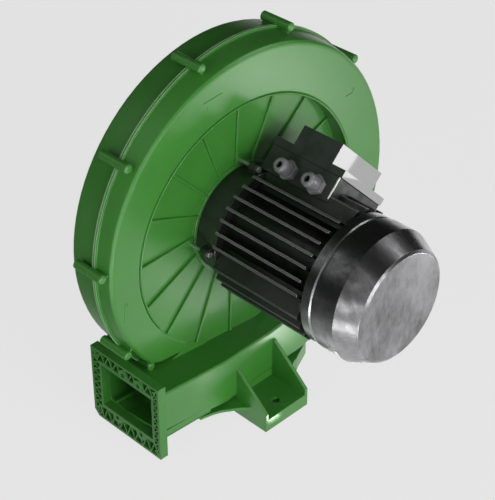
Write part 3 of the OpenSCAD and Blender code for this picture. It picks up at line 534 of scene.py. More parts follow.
GREEN = Finish(
    "moulded_green", "moulded_green", (0.052, 0.255, 0.033), 0.37, corner=0.0016, mottle=0.06,
    mottle_scale=14.0, grain_scale=1400.0, grain_depth=0.000012, corner_light=0.25,
)
# A paler green for the seam beads: a painted highlight along the joints.
SEAM_HIGHLIGHT_GREEN = Finish(
    "seam_highlight_green", "moulded_green", (0.27, 0.50, 0.24), 0.34, corner=0.0004, mottle=0.05, grain_depth=0.000008,
)
FLANGE_GREEN = Finish(
    "flange_green", "moulded_green", (0.047, 0.235, 0.030), 0.46, mottle=0.08,
    mottle_scale=60.0, grain_scale=1400.0, grain_depth=0.000012, corner_light=0.2,
)
MOTOR_BLACK = MottledPaint(
    "motor_black", "dark_paint", (0.016, 0.018, 0.016), 0.28, corner=0.0006, mottle=0.5,
    mottle_scale=90.0, grain_scale=700.0, grain_depth=0.00006, coat=0.25, corner_light=0.5,
)
FIN_BLACK = FinnedPaint(
    "fin_black", "dark_paint", (0.012, 0.013, 0.012), 0.30, corner=0.0006, mottle=0.5,
    mottle_scale=90.0, grain_scale=700.0, grain_depth=0.00006, coat=0.15, corner_light=0.5,
)
BOX_GREY = MottledPaint(
    "box_grey", "lid_alloy", (0.036, 0.042, 0.037), 0.32, corner=0.0007, mottle=0.3, specular=0.35,
    mottle_scale=60.0, grain_depth=0.00003, corner_light=0.4,
)
# Mirror-bright metal for the lid's faces towards the cowl only: painted light that makes that side look lit.
LID_LIT_FACE_ALLOY = BrushedMetal(
    "lid_alloy", "lid_alloy", (0.34, 0.34, 0.34), 0.02, corner=0.0002, mottle=0.04,
    mottle_scale=30.0, grain_depth=0.000001, gloss_spread=0.02,
)
# Bright metal for the strip on the terminal box's corner: a painted highlight.
CORNER_HIGHLIGHT_ALLOY = BrushedMetal(
    "corner_highlight_alloy", "lid_alloy", (0.92, 0.92, 0.92), 0.45, metallic=0.6, corner=0.0003, mottle=0.05,
    mottle_scale=30.0,
)
COWL_SHEET = DrawnSheet("cowl_sheet", "cowl_steel", (0.29, 0.29, 0.30), 0.20, corner=0.0010)
ZINC = BrushedMetal(
    "zinc_plate", "zinc_steel", (0.52, 0.52, 0.53), 0.30, corner=0.0003, mottle=0.15, mottle_scale=200.0,
)
SHAFT_STEEL = BrushedMetal(
    "ground_steel", "shaft_steel", (0.46, 0.46, 0.48), 0.24, corner=0.0003, along=(1.0, 20.0, 1.0),
)
WHEEL_ALLOY = BrushedMetal(
    "wheel_sheet", "wheel_alloy", (0.60, 0.61, 0.62), 0.34, corner=0.0004, mottle=0.12,
    mottle_scale=50.0, along=(4.0, 1.0, 4.0),
)
COPPER = BrushedMetal(
    "varnished_copper", "copper", (0.45, 0.17, 0.06), 0.35, corner=0.0004, mottle=0.3,
    mottle_scale=150.0, along=(1.0, 6.0, 1.0),
)
RUBBER = Finish("seal_rubber", "seal_rubber", (0.016, 0.016, 0.016), 0.7, mottle=0.2, specular=0.3)
FAN_PLASTIC = Finish("fan_plastic", "fan_plastic", (0.03, 0.03, 0.03), 0.5, mottle=0.15)
GLAND_GREY = Finish(
    "gland_grey", "gland_plastic", (0.205, 0.205, 0.215), 0.34, corner=0.0006, mottle=0.08,
    mottle_scale=120.0, grain_depth=0.00001, corner_light=0.15,
)
BRASS = BrushedMetal("stud_brass", "stud_brass", (0.60, 0.42, 0.15), 0.28, mottle=0.15)


# Modelling bench


class Bench:
    """Works on one piece at a time with Blender's operators, as by hand."""

    @staticmethod
    def clear() -> None:
        """Leaves edit mode and deselects everything."""
        if bpy.context.object and bpy.context.object.mode != "OBJECT":
            bpy.ops.object.mode_set(mode="OBJECT")
        bpy.ops.object.select_all(action="DESELECT")

    @classmethod
    def take(cls, piece: Piece) -> None:
        """Makes a piece the only selected and the active one.

        Args:
            piece: The piece.
        """
        cls.clear()
        piece.select_set(True)
        bpy.context.view_layer.objects.active = piece

    @classmethod
    def edit(cls, piece: Piece) -> None:
        """Opens a piece in edit mode with all of its faces selected.

        Args:
            piece: The piece.
        """
        cls.take(piece)
        bpy.ops.object.mode_set(mode="EDIT")
        bpy.ops.mesh.select_mode(type="FACE")
        bpy.ops.mesh.select_all(action="SELECT")

    @classmethod
    def choose_faces(cls, piece: Piece, test: Callable[[Vector, Vector], bool]) -> None:
        """Selects the faces whose centre and normal pass a test.

        Args:
            piece: The piece, in edit mode.
            test: Takes a face's centre and normal.
        """
        bpy.ops.mesh.select_all(action="DESELECT")
        bpy.ops.object.mode_set(mode="OBJECT")
        for face in piece.data.polygons:
            face.select = test(face.center.copy(), face.normal.copy())
        bpy.ops.object.mode_set(mode="EDIT")

    @classmethod
    def choose_top(cls, piece: Piece) -> None:
        """Selects the faces that look up."""
        cls.choose_faces(piece, lambda centre, normal: normal.z > SQUARE_ON)

    @classmethod
    def keep_faces(cls, piece: Piece, test: Callable[[Vector, Vector], bool]) -> None:
        """Deletes all faces but those that pass a test, and selects what stays.

        Args:
            piece: The piece.
            test: Takes a face's centre and normal.
        """
        cls.edit(piece)
        cls.choose_faces(piece, test)
        bpy.ops.mesh.select_all(action="INVERT")
        bpy.ops.mesh.delete(type="FACE")
        bpy.ops.mesh.select_all(action="SELECT")

    @classmethod
    def settle(cls, piece: Piece, place: Matrix | None = None) -> Piece:
        """Moves a piece by a matrix and puts its place in its mesh.

        Args:
            piece: The piece, modelled about its own origin.
            place: Where it goes, or None to leave it.

        Returns:
            The piece, its object at the origin.
        """
        cls.clear()
        if place is not None:
            piece.matrix_world = place @ piece.matrix_world
        bpy.context.view_layer.update()
        piece.data.transform(piece.matrix_world)
        piece.matrix_world = Matrix.Identity(4)
        return piece

    @classmethod
    def cylinder(cls, name: str, radius: float, depth: float, sides: int) -> Piece:
        """Adds an upright cylinder that stands on its origin.

        Args:
            name: The piece's name.
            radius: Its radius.
            depth: Its height.
            sides: The number of its sides.

        Returns:
            The cylinder.
        """
        cls.clear()
        middle = (0.0, 0.0, depth / 2)
        bpy.ops.mesh.primitive_cylinder_add(vertices=sides, radius=radius, depth=depth, location=middle)
        return cls.settle(cls.named(name))

    @staticmethod
    def named(name: str) -> Piece:
        """Names the active piece and its mesh.

        Args:
            name: The name.

        Returns:
            The piece.
        """
        piece = bpy.context.object
        piece.name = piece.data.name = name
        return piece

    @classmethod
    def bar(cls, name: str, low: Place, high: Place) -> Piece:
        """Adds a bar from its lowest to its highest corner.

        Args:
            name: The piece's name.
            low: The lowest corner.
            high: The highest corner.

        Returns:
            The bar.
        """
        cls.clear()
        size = [end - start for start, end in zip(low, high)]
        middle = [(start + end) / 2 for start, end in zip(low, high)]
        bpy.ops.mesh.primitive_cube_add(size=1.0, location=middle, scale=size)
        return cls.settle(cls.named(name))

    @staticmethod
    def modify(piece: Piece, kind: str, **settings: object) -> None:
        """Gives the active piece a modifier and applies it.

        Args:
            piece: The piece.
            kind: The modifier's type.
            settings: The modifier's settings.
        """
        modifier = piece.modifiers.new(kind.lower(), kind)
        for name, value in settings.items():
            setattr(modifier, name, value)
        bpy.ops.object.modifier_apply(modifier=modifier.name)

    @classmethod
    def soften(
        cls, piece: Piece, width: float, steps: int = 2, angle: float = 35.0, smooth: float = 32.0
    ) -> Piece:
        """Bevels the sharp edges of a piece and smooths its shading.

        Args:
            piece: The piece.
            width: The bevel's width, or 0 for none.
            steps: The bevel's segments.
            angle: The least angle in degrees of an edge that is bevelled.
            smooth: The greatest angle in degrees across which the shading runs on.

        Returns:
            The piece.
        """
        cls.take(piece)
        if width > 0:
            limit = math.radians(angle)
            cls.modify(piece, "BEVEL", width=width, segments=steps, limit_method="ANGLE", angle_limit=limit)
        bpy.ops.object.shade_smooth_by_angle(angle=math.radians(smooth))
        cls.modify(piece, "WEIGHTED_NORMAL", keep_sharp=True)
        cls.clear()
        return piece

    @classmethod
    def thicken(cls, piece: Piece, thickness: float) -> None:
        """Makes a closed sheet out of an open surface, which lies in its middle."""
        cls.take(piece)
        cls.modify(piece, "SOLIDIFY", thickness=thickness, offset=0.0)

    @classmethod
    def copy_of(cls, piece: Piece, place: Matrix) -> Piece:
        """Copies a piece with a mesh of its own.

        Args:
            piece: The piece.
            place: The matrix that moves the copy's mesh.

        Returns:
            The copy.
        """
        twin = piece.copy()
        twin.data = piece.data.copy()
        bpy.context.scene.collection.objects.link(twin)
        twin.data.transform(place)
        return twin

    @classmethod
    def join(cls, name: str, pieces: Sequence[Piece]) -> Piece:
        """Joins pieces into one.

        Args:
            name: The joined piece's name.
            pieces: What is joined.

        Returns:
            The joined piece.
        """
        cls.clear()
        for piece in pieces:
            piece.select_set(True)
        bpy.context.view_layer.objects.active = pieces[0]
        bpy.ops.object.join()
        joined = cls.named(name)
        cls.clear()
        return joined


class Workshop:
    """Holds the frame's nodes and sends every piece out with its finish and body."""

    def __init__(self, nodes: dict[str, Piece]) -> None:
        """Takes the CAD nodes."""
        self.nodes = nodes

    def keep(self, finish: Finish, *names: str) -> None:
        """Gives a finish to CAD nodes that stay as they are.

        Args:
            finish: The finish.
            names: The nodes' names.
        """
        for name in names:
            mesh = self.nodes[name].data
            mesh.materials.clear()
            mesh.materials.append(finish.material())
            LOG.info("node %s: %s", name, finish.name)

    def loose_copy(self, name: str, copy_name: str) -> Piece:
        """Copies a CAD node's mesh into a new merged piece.

        Args:
            name: The node's name.
            copy_name: The new piece's name.

        Returns:
            The piece, still without a body.
        """
        piece = bpy.data.objects.new(copy_name, self.nodes[name].data.copy())
        bpy.context.scene.collection.objects.link(piece)
        Bench.take(piece)
        bpy.ops.mesh.customdata_custom_splitnormals_clear()
        Bench.edit(piece)
        bpy.ops.mesh.remove_doubles(threshold=MERGE)
        bpy.ops.mesh.delete_loose()
        Bench.clear()
        return piece

    def centres(self, name: str, spread: float) -> list[tuple[float, float]]:
        """Finds the middles of a node's separate round solids, seen along the shaft.

        Args:
            name: The node's name.
            spread: How far a solid's vertices may lie from its first one.

        Returns:
            Each middle's X and Z.
        """
        groups: list[list[Vector]] = []
        for vertex in self.nodes[name].data.vertices:
            spot = Vector((vertex.co.x, vertex.co.z))
            home = next((group for group in groups if (group[0] - spot).length < spread), None)
            if home is None:
                groups.append([spot])
            else:
                home.append(spot)
        middles = []
        for group in groups:
            xs, zs = [spot.x for spot in group], [spot.y for spot in group]
            middles.append(((min(xs) + max(xs)) / 2, (min(zs) + max(zs)) / 2))
        return middles

    def refine(
        self,
        finish: Finish,
        name: str,
        bevel: float = 0.0,
        steps: int = 2,
        flat: float = 0.4,
        smooth: float = 32.0,
        sliver: float = 0.00001,
        body: Body = Body.CASING,
    ) -> None:
        """Replaces a CAD node by a merged copy with softened edges and even shading.

        Args:
            finish: The copy's finish.
            name: The node's name.
            bevel: The width of its softened edges.
            steps: The segments of a softened edge.
            flat: The angle in degrees up to which neighbouring faces are made one.
            smooth: The greatest angle in degrees across which the shading runs on.
            sliver: The length below which an edge is taken out.
            body: The body that it rides on.
        """
        piece = self.loose_copy(name, f"{name}_shape")
        Bench.edit(piece)
        bpy.ops.mesh.dissolve_degenerate(threshold=sliver)
        bpy.ops.mesh.select_all(action="SELECT")
        bpy.ops.mesh.dissolve_limited(angle_limit=math.radians(flat))
        Bench.soften(piece, bevel, steps, smooth=smooth)
        self.send(piece, finish, body)
        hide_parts(name)

    @staticmethod
    def send(piece: Piece, finish: Finish, body: Body = Body.CASING) -> None:
        """Finishes a piece: its material and the body that it rides on.

        Args:
            piece: The piece.
            finish: Its finish.
            body: Its body.
        """
        piece.data.materials.clear()
        piece.data.materials.append(finish.material())
        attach(piece, body.value)
        LOG.info("piece %s: %s, %d faces", piece.name, finish.name, len(piece.data.polygons))


# Sub-assemblies


@dataclass
class Casing:
    """The two casing halves, their flange, screws and the moulded marks on the ring.

    The recess, its floor and ribs, the ring and the strokes are in millimetres, other lengths in metres and
    angles in degrees. The bead, dome, rib and stroke values without a unit are shares of a size.
    """

    shop: Workshop
    corner: float = 0.0006
    corner_flat: float = 0.05
    corner_smooth: float = 24.0
    corner_sliver: float = 0.0001
    fine_edge: float = 0.0003
    lip: float = 0.0025
    lip_across: float = 0.1
    lip_out: float = 0.5
    bead: float = 0.0008
    bead_wall: float = 1.6
    bead_round: float = 0.7
    boss_radius: float = 0.0065
    boss_front: float = 0.021
    dome_gap: float = 0.0002
    dome_foot: float = 0.0012
    dome_sides: int = 28
    dome_steps: tuple[tuple[float, float], ...] = ((0.16, 0.0009), (0.22, 0.0006), (0.25, 0.0003))
    dome_smooth: float = 40.0
    rib_count: int = 17
    rib_first: float = 3.0
    rib_rise: float = 2.4
    rib_width: float = 4.2
    rib_height: float = 1.5
    rib_least: float = 0.1
    collar_radius: float = 82.5
    recess_radius: float = 184.2
    rim_bead_radius: float = 0.0013
    rim_bead_turns: int = 3
    rim_first: int = -33
    rim_last: int = 214
    rim_step: int = 3
    floor_hub: float = 12.5
    floor_rim: float = 22.0
    sole_length: float = 0.090
    sole_front: float = 0.0721
    sole_back: float = 0.022
    sole_drop: float = 0.012
    sole_start: float = 0.2005
    sole_low: float = 0.2375
    sole_slope: float = 3.5
    sole_wall: float = 0.003
    roof_drop: float = 0.178
    roof_slope: float = 0.09
    ring_start: float = 25.0
    ring_gain: float = 25.0
    ring_least: float = -1.0
    arrow_strokes: tuple[tuple[float, float, float, float], ...] = (
        (-7.8, 213.9, -15.6, 222.8),
        (-7.8, 213.9, -9.6, 209.0),
        (77.4, 221.1, 69.4, 226.3),
        (70.8, 217.7, 69.5, 209.0),
        (144.9, 232.8, 145.9, 225.4),
        (145.9, 225.4, 144.3, 215.1),
    )
    stroke: float = 1.5
    stroke_height: float = 0.6
    stroke_foot: float = 0.4
    stroke_flank: float = 0.45
    stroke_round: float = 0.25
    stroke_angle: float = 20.0
    stroke_smooth: float = 50.0

    def build(self) -> None:
        """Dresses the halves and adds the marks."""
        for name in ("front_casing", "rear_casing"):
            self.shop.refine(
                GREEN, name, self.corner, 2, self.corner_flat, self.corner_smooth, self.corner_sliver
            )
        self.shop.refine(FLANGE_GREEN, "discharge_flange", self.fine_edge, 1)
        self.shop.refine(ZINC, "casing_screws", self.fine_edge, 1)
        self.seam_beads()
        self.boss_domes()
        self.rib_crests()
        self.rim_bead()
        self.duct_sole()
        self.arrows()

    def seam_beads(self) -> None:
        """Raises a rounded bead on the edge of each joint flange, from boss to boss, in a paler green that is
        a painted highlight.
        """
        joint = SHAFT.y
        for name, row in (("front_casing", -self.lip / 2), ("rear_casing", self.lip / 2)):
            rim = joint + row * 2
            piece = self.shop.loose_copy(name, f"{name}_bead")

            def on_lip(centre: Vector, normal: Vector, row: float = row) -> bool:
                """Tests whether a face lies on the outside of the lip.

                Args:
                    centre: The face's centre.
                    normal: The face's normal.
                    row: Where the lip's middle lies, measured from the joint.

                Returns:
                    Whether it does.
                """
                away = centre - SHAFT
                away.y = 0.0
                close = abs(centre.y - joint - row) < self.lip / 4
                outward = normal.dot(away.normalized()) > self.lip_out
                return close and outward and abs(normal.y) < self.lip_across

            Bench.keep_faces(piece, on_lip)
            narrow = (1.0, self.bead * 2 / self.lip, 1.0)
            bpy.ops.transform.resize(value=narrow, center_override=(0.0, rim, 0.0))
            Bench.thicken(piece, self.bead * self.bead_wall)
            Bench.soften(piece, self.bead * self.bead_round, 3)
            # The paler green is a painted highlight along the joint.
            self.shop.send(piece, SEAM_HIGHLIGHT_GREEN)

    def rim_bead(self) -> None:
        """Rounds the edge between the ring and the recess with a thin bead."""
        angles = range(self.rim_first, self.rim_last, self.rim_step)
        points = [self.on_ring(angle, self.recess_radius) for angle in angles]
        bpy.ops.curve.primitive_nurbs_path_add()
        path = bpy.context.object
        spline = path.data.splines.new("POLY")
        spline.points.add(len(points) - 1)
        for spot, point in zip(spline.points, points):
            spot.co = (*point, 1.0)
        path.data.splines.remove(path.data.splines[0])
        path.location = (0.0, 0.0, 0.0)
        path.data.bevel_depth = self.rim_bead_radius
        path.data.bevel_resolution = self.rim_bead_turns
        path.data.use_fill_caps = True
        bpy.ops.object.convert(target="MESH")
        piece = Bench.named("recess_rim")
        Bench.edit(piece)
        bpy.ops.mesh.normals_make_consistent(inside=False)
        Bench.take(piece)
        bpy.ops.object.shade_smooth()
        self.shop.send(piece, GREEN)

    def boss_domes(self) -> None:
        """Closes each clamp boss at its front end with a low dome."""
        pattern = self.dome()
        domes = []
        for across, over in self.shop.centres("casing_screws", self.boss_radius * 2):
            place = Matrix.Rotation(math.radians(90), 4, "X")
            place.translation = Vector((across, SHAFT.y - self.boss_front, over))
            domes.append(Bench.copy_of(pattern, place))
        bpy.data.objects.remove(pattern)
        piece = Bench.join("boss_domes", domes)
        self.shop.send(piece, GREEN)

    def dome(self) -> Piece:
        """Models one low dome with steps round it, standing on its origin.

        Returns:
            The dome.
        """
        piece = Bench.cylinder("dome", self.boss_radius - self.dome_gap, self.dome_foot, self.dome_sides)
        Bench.edit(piece)
        Bench.choose_top(piece)
        for share, rise in self.dome_steps:
            bpy.ops.mesh.inset(thickness=self.boss_radius * share, depth=rise)
        return Bench.soften(piece, self.fine_edge, smooth=self.dome_smooth)

    def rib_crests(self) -> None:
        """Rounds the crest of each rib in the recess and gives it sloping flanks."""
        crests = []
        for index in range(self.rib_count):
            angle = self.rib_first + index * 360.0 / self.rib_count
            start = self.in_recess(angle, self.collar_radius, self.floor_hub + self.rib_rise / 2)
            end = self.in_recess(angle, self.recess_radius, self.floor_rim + self.rib_rise)
            reach = self.roof_share(start, end)
            if reach > self.rib_least:
                end = start.lerp(end, reach)
                crests.append(self.raised_line(start, end, self.rib_width, self.rib_height))
        piece = Bench.join("rib_crests", crests)
        self.shop.send(piece, GREEN)

    def duct_sole(self) -> None:
        """Deepens the duct towards its flange: the foot of its front wall and a sloping sole."""
        length, front, back = self.sole_length, -self.sole_front, self.sole_back
        drop, thick = self.sole_drop, self.sole_wall
        wall = Bench.bar("duct_wall_foot", (0.0, front, 0.0), (length, front + thick, drop))
        sole = Bench.bar("duct_sole_plate", (0.0, front, 0.0), (length, back, thick))
        rear = Bench.bar("duct_rear_foot", (0.0, back - thick, 0.0), (length, back, drop))
        place = Matrix.Rotation(math.radians(self.sole_slope), 4, "Y")
        place.translation = SHAFT + Vector((-self.sole_start, 0.0, -self.sole_low))
        piece = Bench.join("duct_sole", [Bench.settle(part, place) for part in (wall, sole, rear)])
        Bench.soften(piece, self.fine_edge, 1)
        self.shop.send(piece, GREEN)

    def in_recess(self, angle: float, radius: float, depth: float) -> Vector:
        """Gives a point in the recess.

        Args:
            angle: The angle in degrees, from the left over the top.
            radius: The distance from the shaft in millimetres.
            depth: The depth in front of the joint in millimetres.

        Returns:
            The point.
        """
        turn = math.radians(angle)
        return SHAFT + Vector((-math.cos(turn) * radius, -depth, math.sin(turn) * radius)) * MM

    def roof_share(self, start: Vector, end: Vector) -> float:
        """Gives how much of a line lies above the duct's roof, from its start."""
        low, high = (self.roof_height(point) for point in (end, start))
        return 1.0 if low > 0 else max(0.0, high / (high - low))

    def roof_height(self, point: Vector) -> float:
        """Gives a point's height over the duct's roof."""
        return point.z - SHAFT.z + self.roof_drop - self.roof_slope * (SHAFT.x - point.x)

    def on_ring(self, angle: float, radius: float) -> Vector:
        """Gives a point on the ring's front face.

        Args:
            angle: The angle in degrees, from the left over the top.
            radius: The distance from the shaft in millimetres.

        Returns:
            The point.
        """
        depth = self.ring_start + max(self.ring_least, self.ring_gain * angle / 180.0)
        return self.in_recess(angle, radius, depth)

    def arrows(self) -> None:
        """Adds the raised arrowheads that show the direction of rotation."""
        strokes = []
        for angle, radius, foot_angle, foot_radius in self.arrow_strokes:
            tip, foot = self.on_ring(angle, radius), self.on_ring(foot_angle, foot_radius)
            strokes.append(self.raised_line(tip, foot, self.stroke, self.stroke_height))
        piece = Bench.join("rotation_arrows", strokes)
        self.shop.send(piece, GREEN)

    def raised_line(self, start: Vector, end: Vector, width: float, height: float) -> Piece:
        """Models one moulded stroke with sloping flanks between two points of the front.

        Args:
            start: Where it starts.
            end: Where it ends.
            width: Its width in millimetres.
            height: Its height in millimetres, and how deep it is rooted.

        Returns:
            The stroke.
        """
        along = end - start
        length, half, top = along.length, width / 2 * MM, height * MM
        piece = Bench.bar("stroke", (0.0, -half, -top), (length, half, top * self.stroke_foot))
        Bench.edit(piece)
        Bench.choose_top(piece)
        bpy.ops.mesh.inset(thickness=half * self.stroke_flank, depth=top * (1.0 - self.stroke_foot))
        edge = half * self.stroke_round
        Bench.soften(piece, edge, angle=self.stroke_angle, smooth=self.stroke_smooth)
        x_axis = along.normalized()
        z_axis = Vector((0.0, -1.0, 0.0))
        z_axis = (z_axis - x_axis * z_axis.dot(x_axis)).normalized()
        y_axis = z_axis.cross(x_axis).normalized()
        place = Matrix((x_axis, y_axis, z_axis)).transposed().to_4x4()
        place.translation = start
        return Bench.settle(piece, place)


@dataclass
class Inlet:
    """The inlet spigot with its guard, on the hidden side."""

    shop: Workshop
    ring_edge: float = 0.0005
    screw_edge: float = 0.0002

    def build(self) -> None:
        """Dresses the inlet."""
        self.shop.refine(GREEN, "inlet_ring", self.ring_edge)
        self.shop.refine(ZINC, "inlet_screws", self.screw_edge, 1)
        self.shop.refine(ZINC, "inlet_guard")
        self.shop.refine(ZINC, "guard_screws", self.screw_edge, 1)
        self.shop.refine(RUBBER, "shaft_seal")


@dataclass
class Impeller:
    """The impeller and the rotor that carries it."""

    shop: Workshop
    washer_edge: float = 0.0003
    bolt_edge: float = 0.0004

    def build(self) -> None:
        """Dresses the turning pieces."""
        for name in ("impeller_hub", "impeller_backplate", "impeller_blades", "impeller_shroud"):
            self.shop.refine(WHEEL_ALLOY, name, body=Body.ROTOR)
        self.shop.refine(ZINC, "hub_washer", self.washer_edge, 1, body=Body.ROTOR)
        self.shop.refine(ZINC, "hub_bolt", self.bolt_edge, 1, body=Body.ROTOR)
        self.shop.keep(SHAFT_STEEL, "hub_key", "shaft", "rotor_core")
        self.shop.keep(SHAFT_STEEL, "drive_bearing_inner", "rear_bearing_inner")
        self.shop.keep(FAN_PLASTIC, "cooling_fan")
        self.shop.keep(ZINC, "fan_clip")


@dataclass
class Motor:
    """The finned motor with its shields and cowl."""

    shop: Workshop
    shield_edge: float = 0.0006
    frame_edge: float = 0.0005
    cowl_edge: float = 0.0008
    cowl_smooth: float = 24.0
    screw_edge: float = 0.0003

    def build(self) -> None:
        """Dresses the motor."""
        self.shop.refine(MOTOR_BLACK, "drive_end_shield", self.shield_edge)
        self.shop.refine(FIN_BLACK, "stator_frame", self.frame_edge, 1)
        self.shop.refine(MOTOR_BLACK, "rear_shield", self.frame_edge, 1)
        self.shop.refine(ZINC, "motor_screws", self.screw_edge, 1)
        self.shop.refine(ZINC, "tie_bolts", self.screw_edge, 1)
        self.shop.refine(COWL_SHEET, "fan_cowl", self.cowl_edge, smooth=self.cowl_smooth)
        self.shop.refine(ZINC, "cowl_screws", self.screw_edge, 1)
        self.shop.keep(SHAFT_STEEL, "stator_core", "drive_bearing_outer", "rear_bearing_outer")
        self.shop.keep(SHAFT_STEEL, "drive_bearing_balls", "rear_bearing_balls")
        self.shop.keep(COPPER, "stator_windings")
        self.shop.keep(ZINC, "preload_washer")


@dataclass
class TerminalBox:
    """The terminal box with its lid and glands."""

    shop: Workshop
    edge: float = 0.0016
    skin: float = 0.0003
    half_width: float = 0.056
    front: float = 0.163
    turn: float = 45.0
    strip_out: float = 0.0003
    strip_in: float = 0.0018
    strip_low: float = 0.072
    strip_high: float = 0.1036
    strip_edge: float = 0.0006
    screw_edge: float = 0.0003
    gland_edge: float = 0.0005

    def build(self) -> None:
        """Dresses the box."""
        self.shop.refine(BOX_GREY, "terminal_box", self.edge, 3)
        self.shop.refine(BOX_GREY, "terminal_lid", self.edge / 2)
        self.lit_face_skin()
        self.corner_highlight_strip()
        self.shop.keep(RUBBER, "box_gasket")
        self.shop.refine(ZINC, "lid_screws", self.screw_edge, 1)
        self.shop.keep(ZINC, "box_screws", "earth_screw")
        self.shop.keep(FAN_PLASTIC, "terminal_block")
        self.shop.keep(BRASS, "terminal_studs")
        self.shop.refine(GLAND_GREY, "gland_bodies", self.gland_edge)
        self.shop.refine(GLAND_GREY, "gland_nuts", self.gland_edge)
        self.shop.refine(RUBBER, "gland_seals")

    def corner_highlight_strip(self) -> None:
        """Lays a bright strip on the box's upright corner towards the cowl: a painted highlight where that
        edge catches the light.
        """
        side, front = -self.half_width, -self.front
        low = (side - self.strip_out, front - self.strip_out, self.strip_low)
        high = (side + self.strip_in, front + self.strip_in, self.strip_high)
        strip = Bench.bar("box_corner_highlight", low, high)
        place = Matrix.Rotation(math.radians(self.turn), 4, "Y")
        place.translation = SHAFT
        Bench.settle(strip, place)
        Bench.soften(strip, self.strip_edge)
        # The strip is a painted highlight on the corner.
        self.shop.send(strip, CORNER_HIGHLIGHT_ALLOY)

    def lit_face_skin(self) -> None:
        """Lays a mirror-bright metal skin on the lid's faces towards the cowl, while its other sides keep the
        grey paint: painted light that makes the side towards the cowl look lit.
        """
        piece = self.shop.loose_copy("terminal_lid", "lid_lit_face_skin")
        Bench.keep_faces(piece, lambda centre, normal: normal.y < -SQUARE_ON)
        bpy.ops.mesh.dissolve_limited(angle_limit=math.radians(1.0))
        Bench.thicken(piece, self.skin)
        # The skin is painted light: only the side towards the cowl is made bright.
        self.shop.send(piece, LID_LIT_FACE_ALLOY)


# Studio


@dataclass(frozen=True)
class Lamp:
    """A soft rectangular lamp, and whether it lights surfaces and mirrors in them.

    It looks at its aim where that is a point. Where it is a number, the lamp lies face up and is turned by
    that many degrees.
    """

    name: str
    place: Place
    aim: Place | float
    size: tuple[float, float]
    power: float
    lights: bool = False
    mirrors: bool = True

    def build(self) -> None:
        """Sets up the lamp."""
        light = bpy.data.lights.new(self.name, "AREA")
        light.shape = "RECTANGLE"
        light.size, light.size_y = self.size
        light.energy = self.power
        lamp = bpy.data.objects.new(self.name, light)
        lamp.location = self.place
        if isinstance(self.aim, float):
            lamp.rotation_euler = (math.pi, 0.0, math.radians(self.aim))
        else:
            direction = Vector(self.aim) - Vector(self.place)
            lamp.rotation_euler = direction.to_track_quat("-Z", "Y").to_euler()
        lamp.visible_camera = False
        lamp.visible_diffuse = self.lights
        lamp.visible_glossy = self.mirrors
        bpy.context.scene.collection.objects.link(lamp)


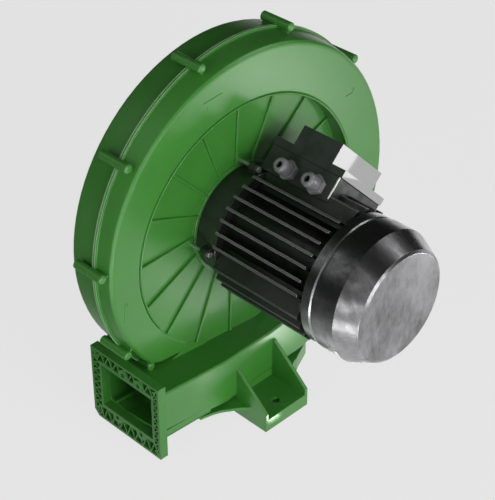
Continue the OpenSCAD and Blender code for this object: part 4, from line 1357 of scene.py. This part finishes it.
@dataclass
class Studio:
    """The camera of the photograph, a pale floor, the lamps and a dim surrounding."""

    camera_place: Place = (0.0900, -0.2067, 8.088)
    camera_unit: float = 0.25
    lens: float = 108.0
    sensor: float = 36.0
    view_end: float = 50.0
    ambient: float = 0.155
    far_dark: float = 0.016
    floor_radius: float = 14.0
    floor_sides: int = 64
    speckle_scale: float = 260.0
    speckle_share: float = 0.985
    floor_colour: Colour = (0.80, 0.80, 0.80)
    pale: float = 0.88
    far_pale: float = 0.776
    mirror_pale: float = 1.15
    mirror_dark: float = 0.16
    mirror_slope: float = 1.8
    shade: float = 0.16
    lamps: tuple[Lamp, ...] = (
        Lamp("front_softbox", (-0.5, -3.0, 0.95), (0.0, 0.0, 0.30), (2.2, 1.6), 62.0, True),
        Lamp("side_softbox", (-3.0, -0.2, 1.0), (0.0, 0.0, 0.30), (1.6, 1.6), 17.0, True, mirrors=False),
        Lamp("edge_panel", (2.2, -1.8, 2.9), (0.0, 0.0, 0.20), (1.6, 1.6), 30.0),
        Lamp("back_panel", (-1.3, 1.4, 2.0), (0.0, 0.0, 0.30), (1.4, 1.2), 4.2),
        Lamp("left_panel", (-2.0, -1.4, 2.2), (0.0, 0.0, 0.30), (2.0, 1.8), 8.5),
        Lamp("cone_panel", (-2.4, -1.28, 0.36), (0.0, -0.25, 0.28), (0.9, 0.66), 11.0),
        Lamp("lip_panel", (-0.62, -0.85, 0.02), -26.0, (0.16, 1.0), 8.0),
        Lamp("lid_panel", (0.571, -0.578, 0.012), -22.6, (0.14, 0.10), 0.046),
        Lamp("ring_panel", (0.64, -0.76, 0.012), -22.6, (0.14, 0.10), 3.2),
        Lamp("rim_panel", (-0.50, -0.30, 0.02), 0.0, (0.20, 0.36), 0.36),
        Lamp("recess_panel", (0.125, -0.130, 0.012), 0.0, (0.05, 0.03), 0.11),
        Lamp("duct_panel", (-0.018, -0.140, 0.006), 0.0, (0.02, 0.03), 0.03),
    )

    def build(self) -> None:
        """Builds the studio."""
        self.camera()
        self.floor()
        self.surround()
        for lamp in self.lamps:
            lamp.build()
        bpy.context.scene.view_settings.view_transform = "Standard"

    def camera(self) -> None:
        """Places the camera at the photograph's viewing angle."""
        right = Vector((1.0, -1.0, 0.0)).normalized()
        back = Vector((-1.0, -1.0, 1.0)).normalized()
        up = back.cross(right)
        x, y, z = self.camera_place
        lens = bpy.data.cameras.new("camera")
        lens.lens = self.lens
        lens.sensor_width = lens.sensor_height = self.sensor
        lens.clip_end = self.view_end
        camera = bpy.data.objects.new("camera", lens)
        turn = Matrix((right, up, back)).transposed().to_4x4()
        turn.translation = SHAFT + self.camera_unit * (x * right + y * up + z * back)
        camera.matrix_world = turn
        bpy.context.scene.collection.objects.link(camera)
        bpy.context.scene.camera = camera

    def floor(self) -> None:
        """Lays the pale floor, which keeps the blower's shadow."""
        Bench.clear()
        bpy.ops.mesh.primitive_circle_add(
            vertices=self.floor_sides, radius=self.floor_radius, fill_type="NGON", location=(0.0, 0.0, 0.0)
        )
        floor = Bench.named("floor")
        material = bpy.data.materials.new("pale_floor")
        material.use_nodes = True
        graph = Graph(material.node_tree)
        speckle = graph.noise(self.speckle_scale, 3.0, 0.6)
        dim = self.speckle_share
        colour = graph.tint(speckle, tuple(c * dim for c in self.floor_colour), self.floor_colour)
        matt = graph.add("ShaderNodeBsdfDiffuse", {"Color": colour})
        glow_colour = graph.tint(speckle, (self.pale * dim,) * 3, (self.pale,) * 3)
        glow = graph.add("ShaderNodeEmission", {"Color": glow_colour})
        # In reflections the floor glows brighter towards +X and -Y and darker towards -X and +Y: a painted
        # reflection of a bright surrounding, not a lamp.
        x, y, _ = graph.spot()
        lit = ((x - y) * self.mirror_slope + 1.0).held()
        mirrored_colour = graph.tint(lit, (self.mirror_dark,) * 3, (self.mirror_pale,) * 3)
        mirrored = graph.add("ShaderNodeEmission", {"Color": mirrored_colour})
        path = graph.add("ShaderNodeLightPath")
        seen = graph.blend(Flow(graph, path.outputs["Is Camera Ray"]) * (1.0 - self.shade), matt, glow)
        mixed = graph.blend(path.outputs["Is Glossy Ray"], seen, mirrored)
        graph.add("ShaderNodeOutputMaterial", {"Surface": mixed.outputs[0]})
        floor.data.materials.append(material)

    def surround(self) -> None:
        """Makes the dim, even surrounding, which the camera sees as pale as the floor."""
        world = bpy.data.worlds.new("surround")
        world.use_nodes = True
        graph = Graph(world.node_tree)
        path = graph.add("ShaderNodeLightPath")
        glow, dark, pale = (
            graph.add("ShaderNodeBackground", {"Color": (grey,) * 3})
            for grey in (self.ambient, self.far_dark, self.far_pale)
        )
        mixed = graph.blend(path.outputs["Is Glossy Ray"], glow, dark)
        seen = graph.blend(path.outputs["Is Camera Ray"], mixed, pale)
        graph.add("ShaderNodeOutputWorld", {"Surface": seen.outputs[0]})
        bpy.context.scene.world = world


# Main


def main() -> None:
    """Builds the blower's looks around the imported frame."""
    logging.basicConfig(level=logging.INFO, format="%(message)s")
    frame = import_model()
    Bench.clear()
    Studio().build()
    shop = Workshop(frame["nodes"])
    Casing(shop).build()
    Inlet(shop).build()
    Impeller(shop).build()
    Motor(shop).build()
    TerminalBox(shop).build()


if __name__ == "__main__":
    main()
